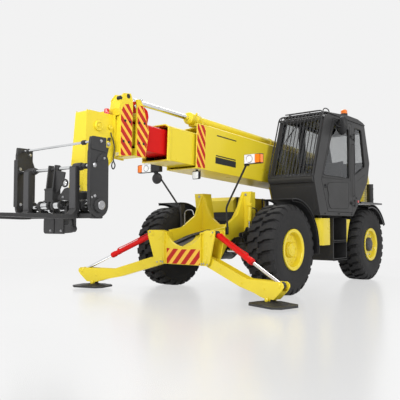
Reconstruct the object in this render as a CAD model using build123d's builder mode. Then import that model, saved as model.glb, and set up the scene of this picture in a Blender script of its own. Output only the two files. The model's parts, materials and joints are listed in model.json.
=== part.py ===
"""Telehandler: four-stage boom with a fork carriage, side cab, two swing-down outriggers.

Millimetres, +X ahead, +Y to the left (the cab's side), +Z up, ground at Z = 0, origin in the
middle of the machine's length and width.  Every X below is given ahead of the front axle and
moved by front_axle_x when a plane is made, so the side view reads from the front axle.
"""
import os
from math import cos, hypot, radians, sin

from build123d import *

os.makedirs("parts", exist_ok=True)

# ---------------------------------------------------------------- driving dimensions
overall_length = 8000
fork_tip_ahead = 4240                  # fork tips, ahead of the front axle
front_axle_x = overall_length / 2 - fork_tip_ahead
rear_end = fork_tip_ahead - overall_length
wheelbase = 2755
gap = 6                                # between pieces that move past each other
fit = 0.5                              # round a pin or a rod

# wheels
tyre_radius = 625
tyre_width = 420
wheel_y = 1020                         # middle of a tyre
bead_radius = 305
kingpin_y = 700
axle_places = [("front", 0), ("rear", -wheelbase)]
sides = [("left", 1), ("right", -1)]

# boom: s runs along the boom from its pivot, t stands up from it
boom_pivot = (-3300, 1820)             # x, z
boom_angle = 2.6
boom_sections = [
    # name, rear s, front s, half width, bottom t, top t, wall
    ("boom_outer", -190, 4243, 270, -284, 362, 14),
    ("boom_second", 420, 4775, 225, -245, 222, 12),
    ("boom_third", 900, 5230, 172, -172, 172, 10),
    ("boom_head", 1380, 5480, 130, -128, 128, 10),
]
mouth_length = 310                     # open top of the outer section's front end
mouth_t = 235
mouth_wall = 14
collars = [
    # name, rear s, front s, half width, tube half width, tube half height
    ("third_collar", 5152, 5302, 205, 172, 172),
    ("head_collar", 5402, 5566, 205, 130, 128),
]
third_plate = [(2005, 1787), (1990, 2420), (2000, 2478), (1945, 2487), (1896, 2429), (1790, 2115),
               (1853, 1777)]
head_plate = [(2266, 1763), (2264, 2240), (2272, 2440), (2210, 2518), (2100, 2530), (2066, 2450),
              (2066, 2373), (2086, 1781)]
horn_skin = [(2272, 2250), (2288, 2330), (2268, 2420), (2205, 2505), (2110, 2532), (2110, 2515),
             (2195, 2488), (2252, 2412), (2270, 2330), (2254, 2250)]
extension_t = 458                      # extension cylinder above the boom
extension_gland_s = 4150
extension_radius = 66
extension_rod_radius = 34

# lift cylinder
lift_foot = (-3200, 850)               # x, z
lift_eye = (1600, -400)                # s, t on the boom
lift_barrel_radius = 95
lift_rod_radius = 52
lift_barrel_length = 1370
lift_rod_length = 1250

# head, tilt cylinder and carriage
carriage_pivot = (2970, 1158)          # x, z
tilt_foot = (2400, 1890)
tilt_eye = (2820, 1000)
tilt_barrel_radius = 43
tilt_rod_radius = 26
tilt_barrel_length = 560
tilt_rod_length = 560
fork_shaft = (3030, 1559)
fork_y = 410
fork_width = 110

# outriggers: u runs outward along the arm's plane from its pivot, v up, n ahead
outrigger_pivot = (840, 420, 480)      # x, y, z
outrigger_splay = 15.5
outrigger_foot = (140, 362)            # u, v of the cylinder's foot
outrigger_eye = (1365, -200)
outrigger_ball = (1177, -378)
pad_z = 32                             # underside of a pad, clear of the ground
arm_half = 55
arm_flange = 12
outrigger_barrel_radius = 36
outrigger_rod_radius = 21
outrigger_barrel_length = 800
outrigger_rod_length = 640

# tow hitch
hitch_jaws = [(700, 730), (800, 830)]  # z
hitch_pin_radius = 16

# cab
cab_inner_y = 390
cab_outer_y = 1170
cab_wall = 40

# hinges of the door and of the engine cover
knuckle_r = 11
hinge_pin_r = 6
hinge_half = 30
door_hinge = (-2177, 1184)             # x, y
door_hinge_z = (1330, 2450)
cover_hinge = (-414, 1432)             # y, z
cover_hinge_x = (-1830, -1040)


# ---------------------------------------------------------------- planes and helpers
def side_plane(y):
    """Side view: local x ahead of the front axle, local y up; extrudes to the right (-Y)."""
    return Plane(origin=(front_axle_x, y, 0), x_dir=(1, 0, 0), z_dir=(0, -1, 0))


def front_plane(x):
    """Front view: local x = Y, local y = Z; extrudes ahead."""
    return Plane(origin=(front_axle_x + x, 0, 0), x_dir=(0, 1, 0), z_dir=(1, 0, 0))


def top_plane(z):
    """Plan view: local x ahead of the front axle, local y = Y; extrudes up."""
    return Plane(origin=(front_axle_x, 0, z), x_dir=(1, 0, 0), z_dir=(0, 0, 1))


def boom_at(s, t):
    """A point of the boom in the side view."""
    a = radians(boom_angle)
    return (boom_pivot[0] + s * cos(a) - t * sin(a), boom_pivot[1] + s * sin(a) + t * cos(a))


def boom_plane(s):
    """Section across the boom: local x = Y, local y = t; extrudes along the boom."""
    a = radians(boom_angle)
    x, z = boom_at(s, 0)
    return Plane(origin=(front_axle_x + x, 0, z), x_dir=(0, 1, 0), z_dir=(cos(a), 0, sin(a)))


def arm_plane(side, n=0):
    """An outrigger's own plane: local x = u outward, local y = up."""
    x, y, z = outrigger_pivot
    a = radians(outrigger_splay)
    out = (sin(a), side * cos(a), 0)
    ahead = (cos(a), -side * sin(a), 0)
    origin = (front_axle_x + x + n * ahead[0], side * y + n * ahead[1], z)
    normal = ahead if side > 0 else tuple(-c for c in ahead)
    return Plane(origin=origin, x_dir=out, z_dir=normal)


def outline(plane, points):
    """A closed straight-sided face."""
    with BuildSketch(plane) as face:
        with BuildLine():
            Polyline(*points, close=True)
        make_face()
    return face.sketch


def slab(points, low_y, high_y, mode=Mode.ADD):
    """A side-view outline, from low_y to high_y across the machine."""
    extrude(outline(side_plane(high_y), points), amount=high_y - low_y, mode=mode)


def wall(points, low_x, high_x, mode=Mode.ADD):
    """A front-view outline (y, z), from low_x to high_x."""
    extrude(outline(front_plane(low_x), points), amount=high_x - low_x, mode=mode)


def tray(points, low_z, high_z, mode=Mode.ADD):
    """A plan-view outline (x, y), from low_z to high_z."""
    extrude(outline(top_plane(low_z), points), amount=high_z - low_z, mode=mode)


def block(x, y, z, mode=Mode.ADD):
    """A box given by its (low, high) pairs."""
    slab([(x[0], z[0]), (x[1], z[0]), (x[1], z[1]), (x[0], z[1])], y[0], y[1], mode)


def bar(start, end, radius, bore=0, mode=Mode.ADD):
    """A round bar between two points given ahead of the front axle."""
    a = Vector(start[0] + front_axle_x, start[1], start[2])
    b = Vector(end[0] + front_axle_x, end[1], end[2])
    with BuildSketch(Plane(origin=a, z_dir=b - a)) as ring:
        Circle(radius)
        if bore:
            Circle(bore, mode=Mode.SUBTRACT)
    extrude(ring.sketch, amount=(b - a).length, mode=mode)


def cross_bar(place, low_y, high_y, radius, bore=0, mode=Mode.ADD):
    """A round bar across the machine at a side-view place."""
    bar((place[0], low_y, place[1]), (place[0], high_y, place[1]), radius, bore, mode)


def arm_bar(side, start, end, radius, bore=0, mode=Mode.ADD):
    """A round bar in an outrigger's plane, between two (u, v) points."""
    plane = arm_plane(side)
    a = plane.from_local_coords(Vector(start[0], start[1], 0))
    b = plane.from_local_coords(Vector(end[0], end[1], 0))
    with BuildSketch(Plane(origin=a, z_dir=b - a)) as ring:
        Circle(radius)
        if bore:
            Circle(bore, mode=Mode.SUBTRACT)
    extrude(ring.sketch, amount=(b - a).length, mode=mode)


def arm_pin(side, spot, half, radius, mode=Mode.ADD):
    """A round pin across an outrigger's plane."""
    with BuildSketch(arm_plane(side, -half if side > 0 else half)) as disc:
        with Locations(spot):
            Circle(radius)
    extrude(disc.sketch, amount=2 * half, mode=mode)


def finish(part, name):
    part.label = name
    export_step(part, f"parts/{name}.step")
    print(f"{name}: {part.volume / 1e9:.4f} m3, {len(part.solids())} solids")


# ---------------------------------------------------------------- chassis
rail_inner = 290
rail_outer = 420
rail_z = (780, 1040)

with BuildPart() as chassis_rails:
    for side in (1, -1):
        low, high = sorted((side * rail_inner, side * rail_outer))
        block((-3560, -300), (low, high), rail_z)
finish(chassis_rails.part, "chassis_rails")

with BuildPart() as cross_members:
    for x in (-2300, -1250, -340):
        block((x - 40, x + 40), (-rail_inner, rail_inner), (800, 900))
    # foot of the lift cylinder, a pin between two lugs
    for side in (1, -1):
        low, high = sorted((side * 120, side * rail_inner))
        block((-3300, -3120), (low, high), (790, 930))
    cross_bar(lift_foot, -200, 200, 40 - fit)
finish(cross_members.part, "cross_members")

with BuildPart() as driveline:
    # transfer box under the rails and the two prop shafts
    block((-1500, -1150), (-180, 180), (480, 799.5))
    bar((-177, 0, tyre_radius - 20), (-1150, 0, 600), 42)
    bar((-1500, 0, 600), (-wheelbase + 177, 0, tyre_radius - 20), 42)
finish(driveline.part, "driveline")

tower_outline = [(-3560, 1040), (-2900, 1040), (-3020, 1400), (-3110, 1900), (-3200, 1990),
                 (-3400, 1990), (-3490, 1900), (-3560, 1500)]
with BuildPart() as rear_frame:
    for side in (1, -1):
        low, high = sorted((side * 290, side * 345))
        slab(tower_outline, low, high)
    cross_bar(boom_pivot, -400, 400, 46, mode=Mode.SUBTRACT)
    # counterweight across the tail
    with BuildSketch(top_plane(620)) as weight:
        with BuildLine():
            Polyline((-3562, -900), (-3562, 900), (-3660, 900), (-3740, 780), (-3740, -780),
                     (-3660, -900), close=True)
        make_face()
    extrude(weight.sketch, amount=560)
    slab([(-3562, 1040), (-3562, 1180), (-3540, 1180), (-3540, 1040)], -345, 345)
    # tow hitch: two jaws in a recess down the middle of the weight, with a pin hole through both
    block((-3741, -3640), (-90, 90), (619, 1181), Mode.SUBTRACT)
    for z in hitch_jaws:
        block((rear_end, -3639), (-70, 70), z)
        bar((rear_end + 40, 0, z[0] - 1), (rear_end + 40, 0, z[1] + 1), hitch_pin_radius,
            mode=Mode.SUBTRACT)
finish(rear_frame.part, "rear_frame")

post_half = (355, 470)
bracket_outline = [(-95, -62), (50, -62), (104, -20), (208, 330), (216, 398), (190, 412),
                   (40, 412), (-71, 382), (-95, 382)]


def add_bracket(side):
    """Two plates either side of an outrigger's arm, a back plate, and the two pins."""
    for n in (-90, 72):
        face = outline(arm_plane(side, n if side > 0 else n + 18), bracket_outline)
        extrude(face, amount=18)
    back = [(-95, -62), (-77, -62), (-77, 382), (-95, 382)]
    extrude(outline(arm_plane(side, -90 * side), back), amount=180)
    arm_pin(side, (0, 0), 91, 30)
    arm_pin(side, outrigger_foot, 91, 22)


with BuildPart() as front_frame:
    for side in (1, -1):
        low, high = sorted((side * 375, side * 405))
        slab([(-299, 790), (-299, 1060), (-210, 1450), (0, 1450), (170, 1110), (480, 930),
              (760, 892), (760, 430), (640, 430), (400, 700), (260, 790)], low, high)
        # post behind the notched bulkhead
        low, high = sorted((side * post_half[0], side * post_half[1]))
        slab([(-190, 1060), (-190, 1450), (0, 1450), (0, 900), (-70, 900)], low, high)
    # notched bulkhead
    wall([(-530, 1000), (-420, 860), (420, 860), (530, 1000), (500, 1200), (530, 1450),
          (365, 1450), (300, 1300), (285, 1240), (180, 1065), (60, 975), (-60, 975), (-180, 1065),
          (-285, 1240), (-300, 1300), (-365, 1450), (-530, 1450), (-500, 1200)], -30, 10)
    # front cross panel, dished along its top
    with BuildSketch(front_plane(868)) as panel:
        with BuildLine():
            Polyline((-330, 862), (-330, 418), (330, 418), (330, 862))
            ThreePointArc((330, 862), (0, 665), (-330, 862))
        make_face()
    extrude(panel.sketch, amount=32)
    # deck plate back to the bulkhead
    slab([(0, 890), (868, 655), (868, 635), (0, 870)], -375, 375)
    for side in (1, -1):
        add_bracket(side)
finish(front_frame.part, "front_frame")

# ---------------------------------------------------------------- engine on the right
with BuildPart() as engine_block:
    block((-1880, -1060), (-1000, -520), (700, 1160))
finish(engine_block.part, "engine_block")

hood_x = (-1945, -900)
hood_y = (-1110, -430)
with BuildPart() as engine_housing:
    block(hood_x, hood_y, (600, 1180))
    block((hood_x[0] + 25, hood_x[1] - 25), (hood_y[0] + 25, hood_y[1] - 25), (625, 1181),
          Mode.SUBTRACT)
    # posts and pins of the cover's hinges
    y, z = cover_hinge
    for x in cover_hinge_x:
        post = (x + hinge_half + 2, x + hinge_half + 26)
        block(post, (hood_y[1], y + 9), (1100, 1180))
        block(post, (hood_y[1] + gap, y + 9), (1180, z))
        bar((post[0], y, z), (post[1], y, z), knuckle_r)
        bar((x - hinge_half - 4, y, z), (post[0], y, z), hinge_pin_r)
finish(engine_housing.part, "engine_housing")

with BuildPart() as engine_cover:
    slab([(hood_x[0], 1186), (hood_x[1], 1186), (hood_x[1], 1380), (hood_x[1] - 60, 1440),
          (hood_x[0] + 60, 1440), (hood_x[0], 1380)], hood_y[0], hood_y[1])
    slab([(hood_x[0] + 25, 1185), (hood_x[1] - 25, 1185), (hood_x[1] - 25, 1370),
          (hood_x[1] - 75, 1415), (hood_x[0] + 75, 1415), (hood_x[0] + 25, 1370)],
         hood_y[0] + 25, hood_y[1] - 25, Mode.SUBTRACT)
    y, z = cover_hinge
    for x in cover_hinge_x:
        block((x - hinge_half, x + hinge_half), (hood_y[1] - 1, y), (z - knuckle_r, z + knuckle_r))
        bar((x - hinge_half, y, z), (x + hinge_half, y, z), knuckle_r)
        bar((x - hinge_half - 1, y, z), (x + hinge_half + 1, y, z), hinge_pin_r + fit,
            mode=Mode.SUBTRACT)
finish(engine_cover.part, "engine_cover")

# ---------------------------------------------------------------- axles, knuckles, wheels
hub_z = tyre_radius
for place, x in axle_places:
    with BuildPart() as axle:
        cross_bar((x, hub_z), -600, 600, 88)
        bar((x - 165, 0, hub_z), (x + 165, 0, hub_z), 175)
        for side in (1, -1):
            low, high = sorted((side * 560, side * 620))
            block((x - 70, x + 70), (low, high), (hub_z - 175, hub_z + 175))
            low, high = sorted((side * 600, side * 745))
            for z in ((hub_z - 175, hub_z - 145), (hub_z + 145, hub_z + 175)):
                block((x - 60, x + 60), (low, high), z)
            # spring seat up to the rail
            low, high = sorted((side * 300, side * 410))
            block((x - 80, x + 80), (low, high), (hub_z + 60, 779))
    finish(axle.part, f"{place}_axle")

guard_radius = 690
guard_thick = 14
for place, x in axle_places:
    for word, side in sides:
        # arch of the mudguard, degrees from straight ahead over the top to the tail
        start, end = (84, 187) if place == "front" else (76, 150)
        with BuildPart() as knuckle:
            cross = sorted((side * kingpin_y, side * (wheel_y - 130)))
            cross_bar((x, hub_z), cross[0], cross[1], 115)
            bar((x, side * kingpin_y, hub_z - 138), (x, side * kingpin_y, hub_z + 138), 55)
            cross = sorted((side * kingpin_y, side * (wheel_y - 20)))
            cross_bar((x, hub_z), cross[0], cross[1], 45)
            low, high = sorted((side * 778, side * 798))
            top = hub_z + guard_radius + 2
            slab([(x - 60, hub_z), (x - 40, top), (x + 40, top), (x + 60, hub_z)], low, high)
            outer = guard_radius + guard_thick
            a, b = radians(start), radians(end)
            m = (a + b) / 2
            low, high = sorted((side * 778, side * 1250))
            with BuildSketch(side_plane(high)) as arch:
                with BuildLine():
                    ThreePointArc((x + guard_radius * cos(a), hub_z + guard_radius * sin(a)),
                                  (x + guard_radius * cos(m), hub_z + guard_radius * sin(m)),
                                  (x + guard_radius * cos(b), hub_z + guard_radius * sin(b)))
                    Line((x + guard_radius * cos(b), hub_z + guard_radius * sin(b)),
                         (x + outer * cos(b), hub_z + outer * sin(b)))
                    ThreePointArc((x + outer * cos(b), hub_z + outer * sin(b)),
                                  (x + outer * cos(m), hub_z + outer * sin(m)),
                                  (x + outer * cos(a), hub_z + outer * sin(a)))
                    Line((x + outer * cos(a), hub_z + outer * sin(a)),
                         (x + guard_radius * cos(a), hub_z + guard_radius * sin(a)))
                make_face()
            extrude(arch.sketch, amount=high - low)
        finish(knuckle.part, f"{place}_{word}_knuckle")

        axis = Axis((front_axle_x + x, side * wheel_y, hub_z), (0, 1, 0))
        # local x = radius ahead, local y = out from the tyre's middle
        wheel_plane = Plane(origin=(front_axle_x + x, side * wheel_y, hub_z), x_dir=(1, 0, 0),
                            z_dir=(0, 0, side))
        with BuildPart() as tyre:
            with BuildSketch(wheel_plane) as section:
                with BuildLine():
                    Line((bead_radius, -190), (bead_radius, 190))
                    ThreePointArc((bead_radius, 190), (450, 210), (585, 188))
                    Line((585, 188), (tyre_radius, 160))
                    Line((tyre_radius, 160), (tyre_radius, -160))
                    Line((tyre_radius, -160), (585, -188))
                    ThreePointArc((585, -188), (450, -210), (bead_radius, -190))
                make_face()
            revolve(section.sketch, axis=axis)
        finish(tyre.part, f"{place}_{word}_tyre")

        dish, cap = (70, 165) if place == "front" else (105, 175)
        with BuildPart() as rim:
            with BuildSketch(wheel_plane) as section:
                with BuildLine():
                    Polyline((45 + fit, -128), (118, -128), (118, dish), (268, dish), (268, -175),
                             (304, -192), (304, 204), (286, 204), (268, dish + 28),
                             (130, dish + 28), (118, cap), (0, cap), (0, -18), (45 + fit, -18),
                             close=True)
                make_face()
            revolve(section.sketch, axis=axis)
        finish(rim.part, f"{place}_{word}_rim")

# ---------------------------------------------------------------- cab
cab_side = [(-705, 1665), (-898, 1112), (-2108, 1112), (-2425, 1380), (-2764, 1733),
            (-2861, 2066), (-2650, 2710), (-1200, 2710), (-1080, 2640)]
cab_inside = [(-760, 1680), (-950, 1155), (-2090, 1155), (-2395, 1410), (-2725, 1755),
              (-2815, 2070), (-2620, 2680), (-1215, 2680), (-1125, 2620)]
door_opening = [(-945, 1660), (-1160, 1168), (-2100, 1168), (-2100, 2665), (-1370, 2665),
                (-1290, 2480)]
with BuildPart() as cab_frame:
    slab(cab_side, cab_inner_y, cab_outer_y)
    slab(cab_inside, cab_inner_y + cab_wall, cab_outer_y - cab_wall, Mode.SUBTRACT)
    # windscreen
    slab([(-650, 1730), (-900, 1730), (-1200, 2600), (-1000, 2600)], cab_inner_y + 50,
         cab_outer_y - 50, Mode.SUBTRACT)
    # door opening
    slab(door_opening, cab_outer_y - cab_wall, cab_outer_y, Mode.SUBTRACT)
    # rear quarter window on the left
    slab([(-2190, 1800), (-2640, 1985), (-2500, 2620), (-2215, 2620)], cab_outer_y - cab_wall,
         cab_outer_y, Mode.SUBTRACT)
    # two windows on the right, beside the boom
    slab([(-860, 1750), (-1700, 1750), (-1700, 2640), (-1250, 2640)], cab_inner_y,
         cab_inner_y + cab_wall, Mode.SUBTRACT)
    slab([(-1860, 1750), (-2200, 1750), (-2640, 1985), (-2500, 2620), (-1860, 2640)],
         cab_inner_y, cab_inner_y + cab_wall, Mode.SUBTRACT)
    # rear window
    slab([(-2900, 2080), (-2700, 2080), (-2560, 2600), (-2760, 2600)], cab_inner_y + 70,
         cab_outer_y - 70, Mode.SUBTRACT)
    # door hinges: a knuckle above and below the door's own, and the pin
    x, y = door_hinge
    for z in door_hinge_z:
        for low in (z - hinge_half - 26, z + hinge_half + 2):
            block((x - knuckle_r, x + knuckle_r), (cab_outer_y - 1, y), (low, low + 24))
            bar((x, y, low), (x, y, low + 24), knuckle_r)
        bar((x, y, z - hinge_half - 3), (x, y, z + hinge_half + 3), hinge_pin_r)
finish(cab_frame.part, "cab_frame")

with BuildPart() as cab_roof:
    slab([(-2660, 2711), (-2660, 2728), (-2570, 2758), (-2345, 2790), (-1930, 2790),
          (-1420, 2748), (-1190, 2728), (-1190, 2711)], cab_inner_y - 10, cab_outer_y + 10)
    fillet(cab_roof.edges().filter_by(Axis.Z), 12)
finish(cab_roof.part, "cab_roof")

pane = 6
with BuildPart() as cab_glass:
    slab([(-752, 1734), (-759, 1734), (-1082, 2596), (-1075, 2596)], cab_inner_y + 52,
         cab_outer_y - 52)
    slab([(-2194, 1806), (-2634, 1988), (-2497, 2616), (-2219, 2616)], cab_outer_y - 23,
         cab_outer_y - 23 + pane)
    slab([(-868, 1754), (-1696, 1754), (-1696, 2636), (-1254, 2636)], cab_inner_y + 17,
         cab_inner_y + 17 + pane)
    slab([(-1864, 1754), (-2199, 1754), (-2634, 1988), (-2497, 2616), (-1864, 2636)],
         cab_inner_y + 17, cab_inner_y + 17 + pane)
    slab([(-2836, 2084), (-2829, 2084), (-2666, 2596), (-2673, 2596)], cab_inner_y + 72,
         cab_outer_y - 72)
finish(cab_glass.part, "cab_glass")

door_outline = [(-953, 1661), (-1166, 1174), (-2094, 1174), (-2094, 2659), (-1374, 2659),
                (-1297, 2478)]
with BuildPart() as cab_door:
    slab(door_outline, cab_outer_y - cab_wall + gap, cab_outer_y)
    slab([(-1010, 1735), (-1975, 1735), (-1975, 2560), (-1400, 2560), (-1340, 2440)],
         cab_outer_y - cab_wall, cab_outer_y + 1, Mode.SUBTRACT)
    x, y = door_hinge
    for z in door_hinge_z:
        strap = (z - hinge_half, z + hinge_half)
        block((-2092, -2060), (cab_outer_y, cab_outer_y + 12), strap)
        block((x, -2060), (cab_outer_y + 5, cab_outer_y + 12), strap)
        bar((x, y, strap[0]), (x, y, strap[1]), knuckle_r)
        bar((x, y, strap[0] - 1), (x, y, strap[1] + 1), hinge_pin_r + fit, mode=Mode.SUBTRACT)
finish(cab_door.part, "cab_door")

with BuildPart() as door_glass:
    slab([(-1016, 1739), (-1971, 1739), (-1971, 2556), (-1403, 2556), (-1344, 2439)],
         cab_outer_y - 22, cab_outer_y - 16)
finish(door_glass.part, "door_glass")

guard_pitch = 62
with BuildPart() as cab_guard:
    low, high = (-672, 1690), (-1010, 2640)
    for x, z in (low, high):
        bar((x, cab_inner_y + 12, z), (x, cab_outer_y - 12, z), 12)
    count = int((cab_outer_y - cab_inner_y - 60) / guard_pitch)
    first = (cab_inner_y + cab_outer_y - count * guard_pitch) / 2
    for i in range(count + 1):
        y = first + i * guard_pitch
        bar((low[0], y, low[1]), (high[0], y, high[1]), 7)
finish(cab_guard.part, "cab_guard")

seat_y = 780
with BuildPart() as operator_seat:
    block((-2070, -1760), (seat_y - 160, seat_y + 160), (1166, 1480))
    block((-2220, -1700), (seat_y - 250, seat_y + 250), (1480, 1600))
    slab([(-2230, 1560), (-2090, 1600), (-2165, 2095), (-2290, 2075)], seat_y - 190, seat_y + 190)
finish(operator_seat.part, "operator_seat")

with BuildPart() as steering_console:
    slab([(-1060, 1160), (-1300, 1160), (-1240, 1650), (-1150, 1720), (-900, 1720), (-870, 1600)],
         cab_inner_y + 60, cab_outer_y - 70)
    bar((-1260, seat_y, 1600), (-1380, seat_y, 1850), 30)
    bar((-1370, seat_y, 1835), (-1383, seat_y, 1862), 190, 160)
    bar((-1372, seat_y - 180, 1843), (-1372, seat_y + 180, 1843), 12)
finish(steering_console.part, "steering_console")

# ---------------------------------------------------------------- left side boxes and steps
with BuildPart() as fuel_tank:
    block((-1415, -1010), (425, 1120), (650, 1070))
    slab([(-2105, 1060), (-1940, 1060), (-1940, 660), (-1962, 660), (-1985, 760), (-2012, 860),
          (-2060, 960)], 425, 1120)
finish(fuel_tank.part, "fuel_tank")

with BuildPart() as access_steps:
    block((-1935, -1420), (560, 600), (400, 1080))
    for z in (400, 690):
        block((-1935, -1420), (600, 1130), (z, z + 25))
    for x in (-1935, -1440):
        block((x, x + 20), (600, 1130), (400, 1080))
finish(access_steps.part, "access_steps")

# ---------------------------------------------------------------- boom
for name, rear, front, half, low, high, thick in boom_sections[:3]:
    with BuildPart() as section:
        with BuildSketch(boom_plane(rear)) as skin:
            with BuildLine():
                Polyline((-half, low), (half, low), (half, high - 30), (half - 60, high),
                         (60 - half, high), (-half, high - 30), close=True)
            make_face()
            offset(amount=-thick, mode=Mode.SUBTRACT)
        extrude(skin.sketch, amount=front - rear)
        if name == "boom_outer":
            # the mouth is open on top and on the right
            with BuildSketch(boom_plane(front - mouth_length)) as mouth:
                with Locations((-mouth_wall, mouth_t + 100)):
                    Rectangle(2 * half, 200)
            extrude(mouth.sketch, amount=mouth_length + 1, mode=Mode.SUBTRACT)
            # pivot tube and pin
            cross_bar(boom_pivot, -284, 284, 90)
            cross_bar(boom_pivot, -360, 360, 45)
            # lugs for the lift cylinder's eye
            x, z = boom_at(*lift_eye)
            for y in ((-125, -95), (95, 125)):
                slab([(x - 120, z + 122), (x - 70, z - 70), (x + 70, z - 70), (x + 150, z + 130)],
                     y[0], y[1])
    finish(section.part, name)

nose = [(2276, 2255), (2640, 2262), (2678, 2240), (2712, 1724), (2745, 1330), (3000, 1218),
        (3036, 1158), (3010, 1105), (2950, 1085), (2890, 1110), (2560, 1450), (2300, 1715),
        (2276, 1760)]
with BuildPart() as boom_head:
    name, rear, front, half, low, high, thick = boom_sections[3]
    with BuildSketch(boom_plane(rear)) as skin:
        Rectangle(2 * half, high - low)
        Rectangle(2 * (half - thick), high - low - 2 * thick, mode=Mode.SUBTRACT)
    extrude(skin.sketch, amount=5590 - rear)
    slab(nose, -132, 132)
    # cheeks lean in towards the top
    for side in (1, -1):
        wall([(side * 96, 2300), (side * 200, 2300), (side * 200, 1330), (side * 132, 1330)],
             2286, 2760, Mode.SUBTRACT)
    # channel for the tilt cylinder, open behind and below
    slab([(2200, 1960), (2640, 1960), (2690, 1500), (2714, 1400), (3100, 1400), (3100, 1000),
          (2700, 1000), (2200, 1500)], -76, 76, Mode.SUBTRACT)
    for side in (1, -1):
        low, high = sorted((side * 80, side * 200))
        cross_bar(carriage_pivot, low, high, 66)
    cross_bar(carriage_pivot, -210, 210, 32 + fit, mode=Mode.SUBTRACT)
    cross_bar(tilt_foot, -100, 100, 24)
finish(boom_head.part, "boom_head")

for name, rear, front, half, tube_w, tube_h in collars:
    with BuildPart() as collar:
        if name == "third_collar":
            slab(third_plate, half - 25, half)
            slab(third_plate, -half, 25 - half)
        else:
            slab(head_plate, half - 25, half)
            slab([(2266, 1763), (2264, 2240), (2070, 2240), (2086, 1781)], -half, 25 - half)
            slab(horn_skin, 40, half)
            slab(head_plate[1:6], 40, 55)
            cross_bar((2165, 2470), 40, half, 20)
        with BuildSketch(boom_plane(rear)) as ring:
            Rectangle(2 * half - 40, 2 * 262)
            Rectangle(2 * tube_w + 0.6, 2 * tube_h + 0.6, mode=Mode.SUBTRACT)
        extrude(ring.sketch, amount=front - rear)
    finish(collar.part, name)

with BuildPart() as extension_barrel:
    start = boom_at(-60, extension_t)
    end = boom_at(extension_gland_s, extension_t)
    bar((start[0], 0, start[1]), (end[0], 0, end[1]), extension_radius)
    start = boom_at(100, extension_t)
    beyond = boom_at(extension_gland_s + 10, extension_t)
    bar((start[0], 0, start[1]), (beyond[0], 0, beyond[1]), extension_rod_radius + fit,
        mode=Mode.SUBTRACT)
    for s in (40, 2000, 4000):
        a, b, c, d = (boom_at(s - 40, 362), boom_at(s + 40, 362), boom_at(s + 40, 400),
                      boom_at(s - 40, 400))
        slab([a, b, c, d], -60, 60)
finish(extension_barrel.part, "extension_barrel")

with BuildPart() as extension_rod:
    start = boom_at(700, extension_t)
    end = boom_at(5195, extension_t)
    bar((start[0], 0, start[1]), (end[0], 0, end[1]), extension_rod_radius)
    cross_bar(boom_at(5215, extension_t - 20), -40, 40, 42)
    cross_bar(boom_at(5215, extension_t - 20), -180, 180, 18)
finish(extension_rod.part, "extension_rod")

# ---------------------------------------------------------------- cylinders in the side view
def cylinder(name, foot, eye, barrel_r, rod_r, barrel_length, rod_length, foot_r, foot_pin, eye_r,
             width):
    """A barrel hinged at its foot and a rod whose eye is at the far pin, both in the side view."""
    length = hypot(eye[0] - foot[0], eye[1] - foot[1])
    way = ((eye[0] - foot[0]) / length, (eye[1] - foot[1]) / length)

    def along(d):
        return (foot[0] + way[0] * d, 0, foot[1] + way[1] * d)

    with BuildPart() as barrel:
        bar(along(foot_r * 0.6), along(barrel_length), barrel_r)
        cross_bar(foot, -width, width, foot_r)
        bar(along(foot_r + 30), along(barrel_length + 1), rod_r + fit, mode=Mode.SUBTRACT)
        cross_bar(foot, -width - 1, width + 1, foot_pin, mode=Mode.SUBTRACT)
    finish(barrel.part, f"{name}_barrel")
    with BuildPart() as rod:
        bar(along(length - rod_length), along(length - eye_r * 0.6), rod_r)
        cross_bar(eye, -width, width, eye_r)
    finish(rod.part, f"{name}_rod")


cylinder("lift", lift_foot, boom_at(*lift_eye), lift_barrel_radius, lift_rod_radius,
         lift_barrel_length, lift_rod_length, 95, 40, 70, 85)
cylinder("tilt", tilt_foot, tilt_eye, tilt_barrel_radius, tilt_rod_radius, tilt_barrel_length,
         tilt_rod_length, 46, 24 + fit, 36, 34)

# ---------------------------------------------------------------- carriage and forks
with BuildPart() as carriage:
    px, pz = carriage_pivot
    for side in (1, -1):
        low, high = sorted((side * 625, side * 660))
        with BuildSketch(side_plane(high)) as cheek:
            with BuildLine():
                Polyline((2845, 1158), (2845, 1620), (2880, 1700), (2880, 1845), (3068, 1845),
                         (3085, 1760), (3085, 1158))
                ThreePointArc((3085, 1158), (px - 5, 1038), (2845, 1158))
            make_face()
        extrude(cheek.sketch, amount=high - low)
        low, high = sorted((side * 655, side * 687))
        cross_bar(carriage_pivot, low, high, 70)
        # lower bar, open in the middle for the boom's nose
        low, high = sorted((side * 230, side * 640))
        block((2900, 3050), (low, high), (1030, 1075))
        # ears that hold the fork shaft and stand on the pivot shaft
        low, high = sorted((side * 45, side * 65))
        slab([(2990, 1120), (3090, 1120), (3090, 1350), (3060, 1600), (3000, 1600)], low, high)
        # lugs to the tilt cylinder's eye
        slab([(2780, 950), (2990, 900), (3000, 1140), (2960, 1140), (2860, 1045), (2780, 1045)],
             low, high)
        low, high = sorted((side * 210, side * 250))
        cross_bar(carriage_pivot, low, high, 62)
        slab([(2930, 1158), (3050, 1158), (3050, 1040), (2930, 1040)], low, high)
    cross_bar(carriage_pivot, -640, 640, 32)
    cross_bar(fork_shaft, -640, 640, 16)
    cross_bar((3017, 1804), -640, 640, 11)
    block((3060, 3100), (-70, 70), (1220, 1350))
    block((2990, 3010), (-140, 140), (865, 1060))
finish(carriage.part, "carriage")

for word, side in sides:
    y = side * fork_y
    half = fork_width / 2
    with BuildPart() as fork:
        slab([(3056, 1560), (3056, 1090), (3080, 1076), (3080, 1030), (3120, 1020),
              (fork_tip_ahead, 1046), (fork_tip_ahead, 1054), (4100, 1068), (3150, 1068),
              (3104, 1115), (3104, 1560)], y - half, y + half)
        cross_bar(fork_shaft, y - half, y + half, 40)
        cross_bar(fork_shaft, y - half - 1, y + half + 1, 16 + fit, mode=Mode.SUBTRACT)
    finish(fork.part, f"fork_{word}")

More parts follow.
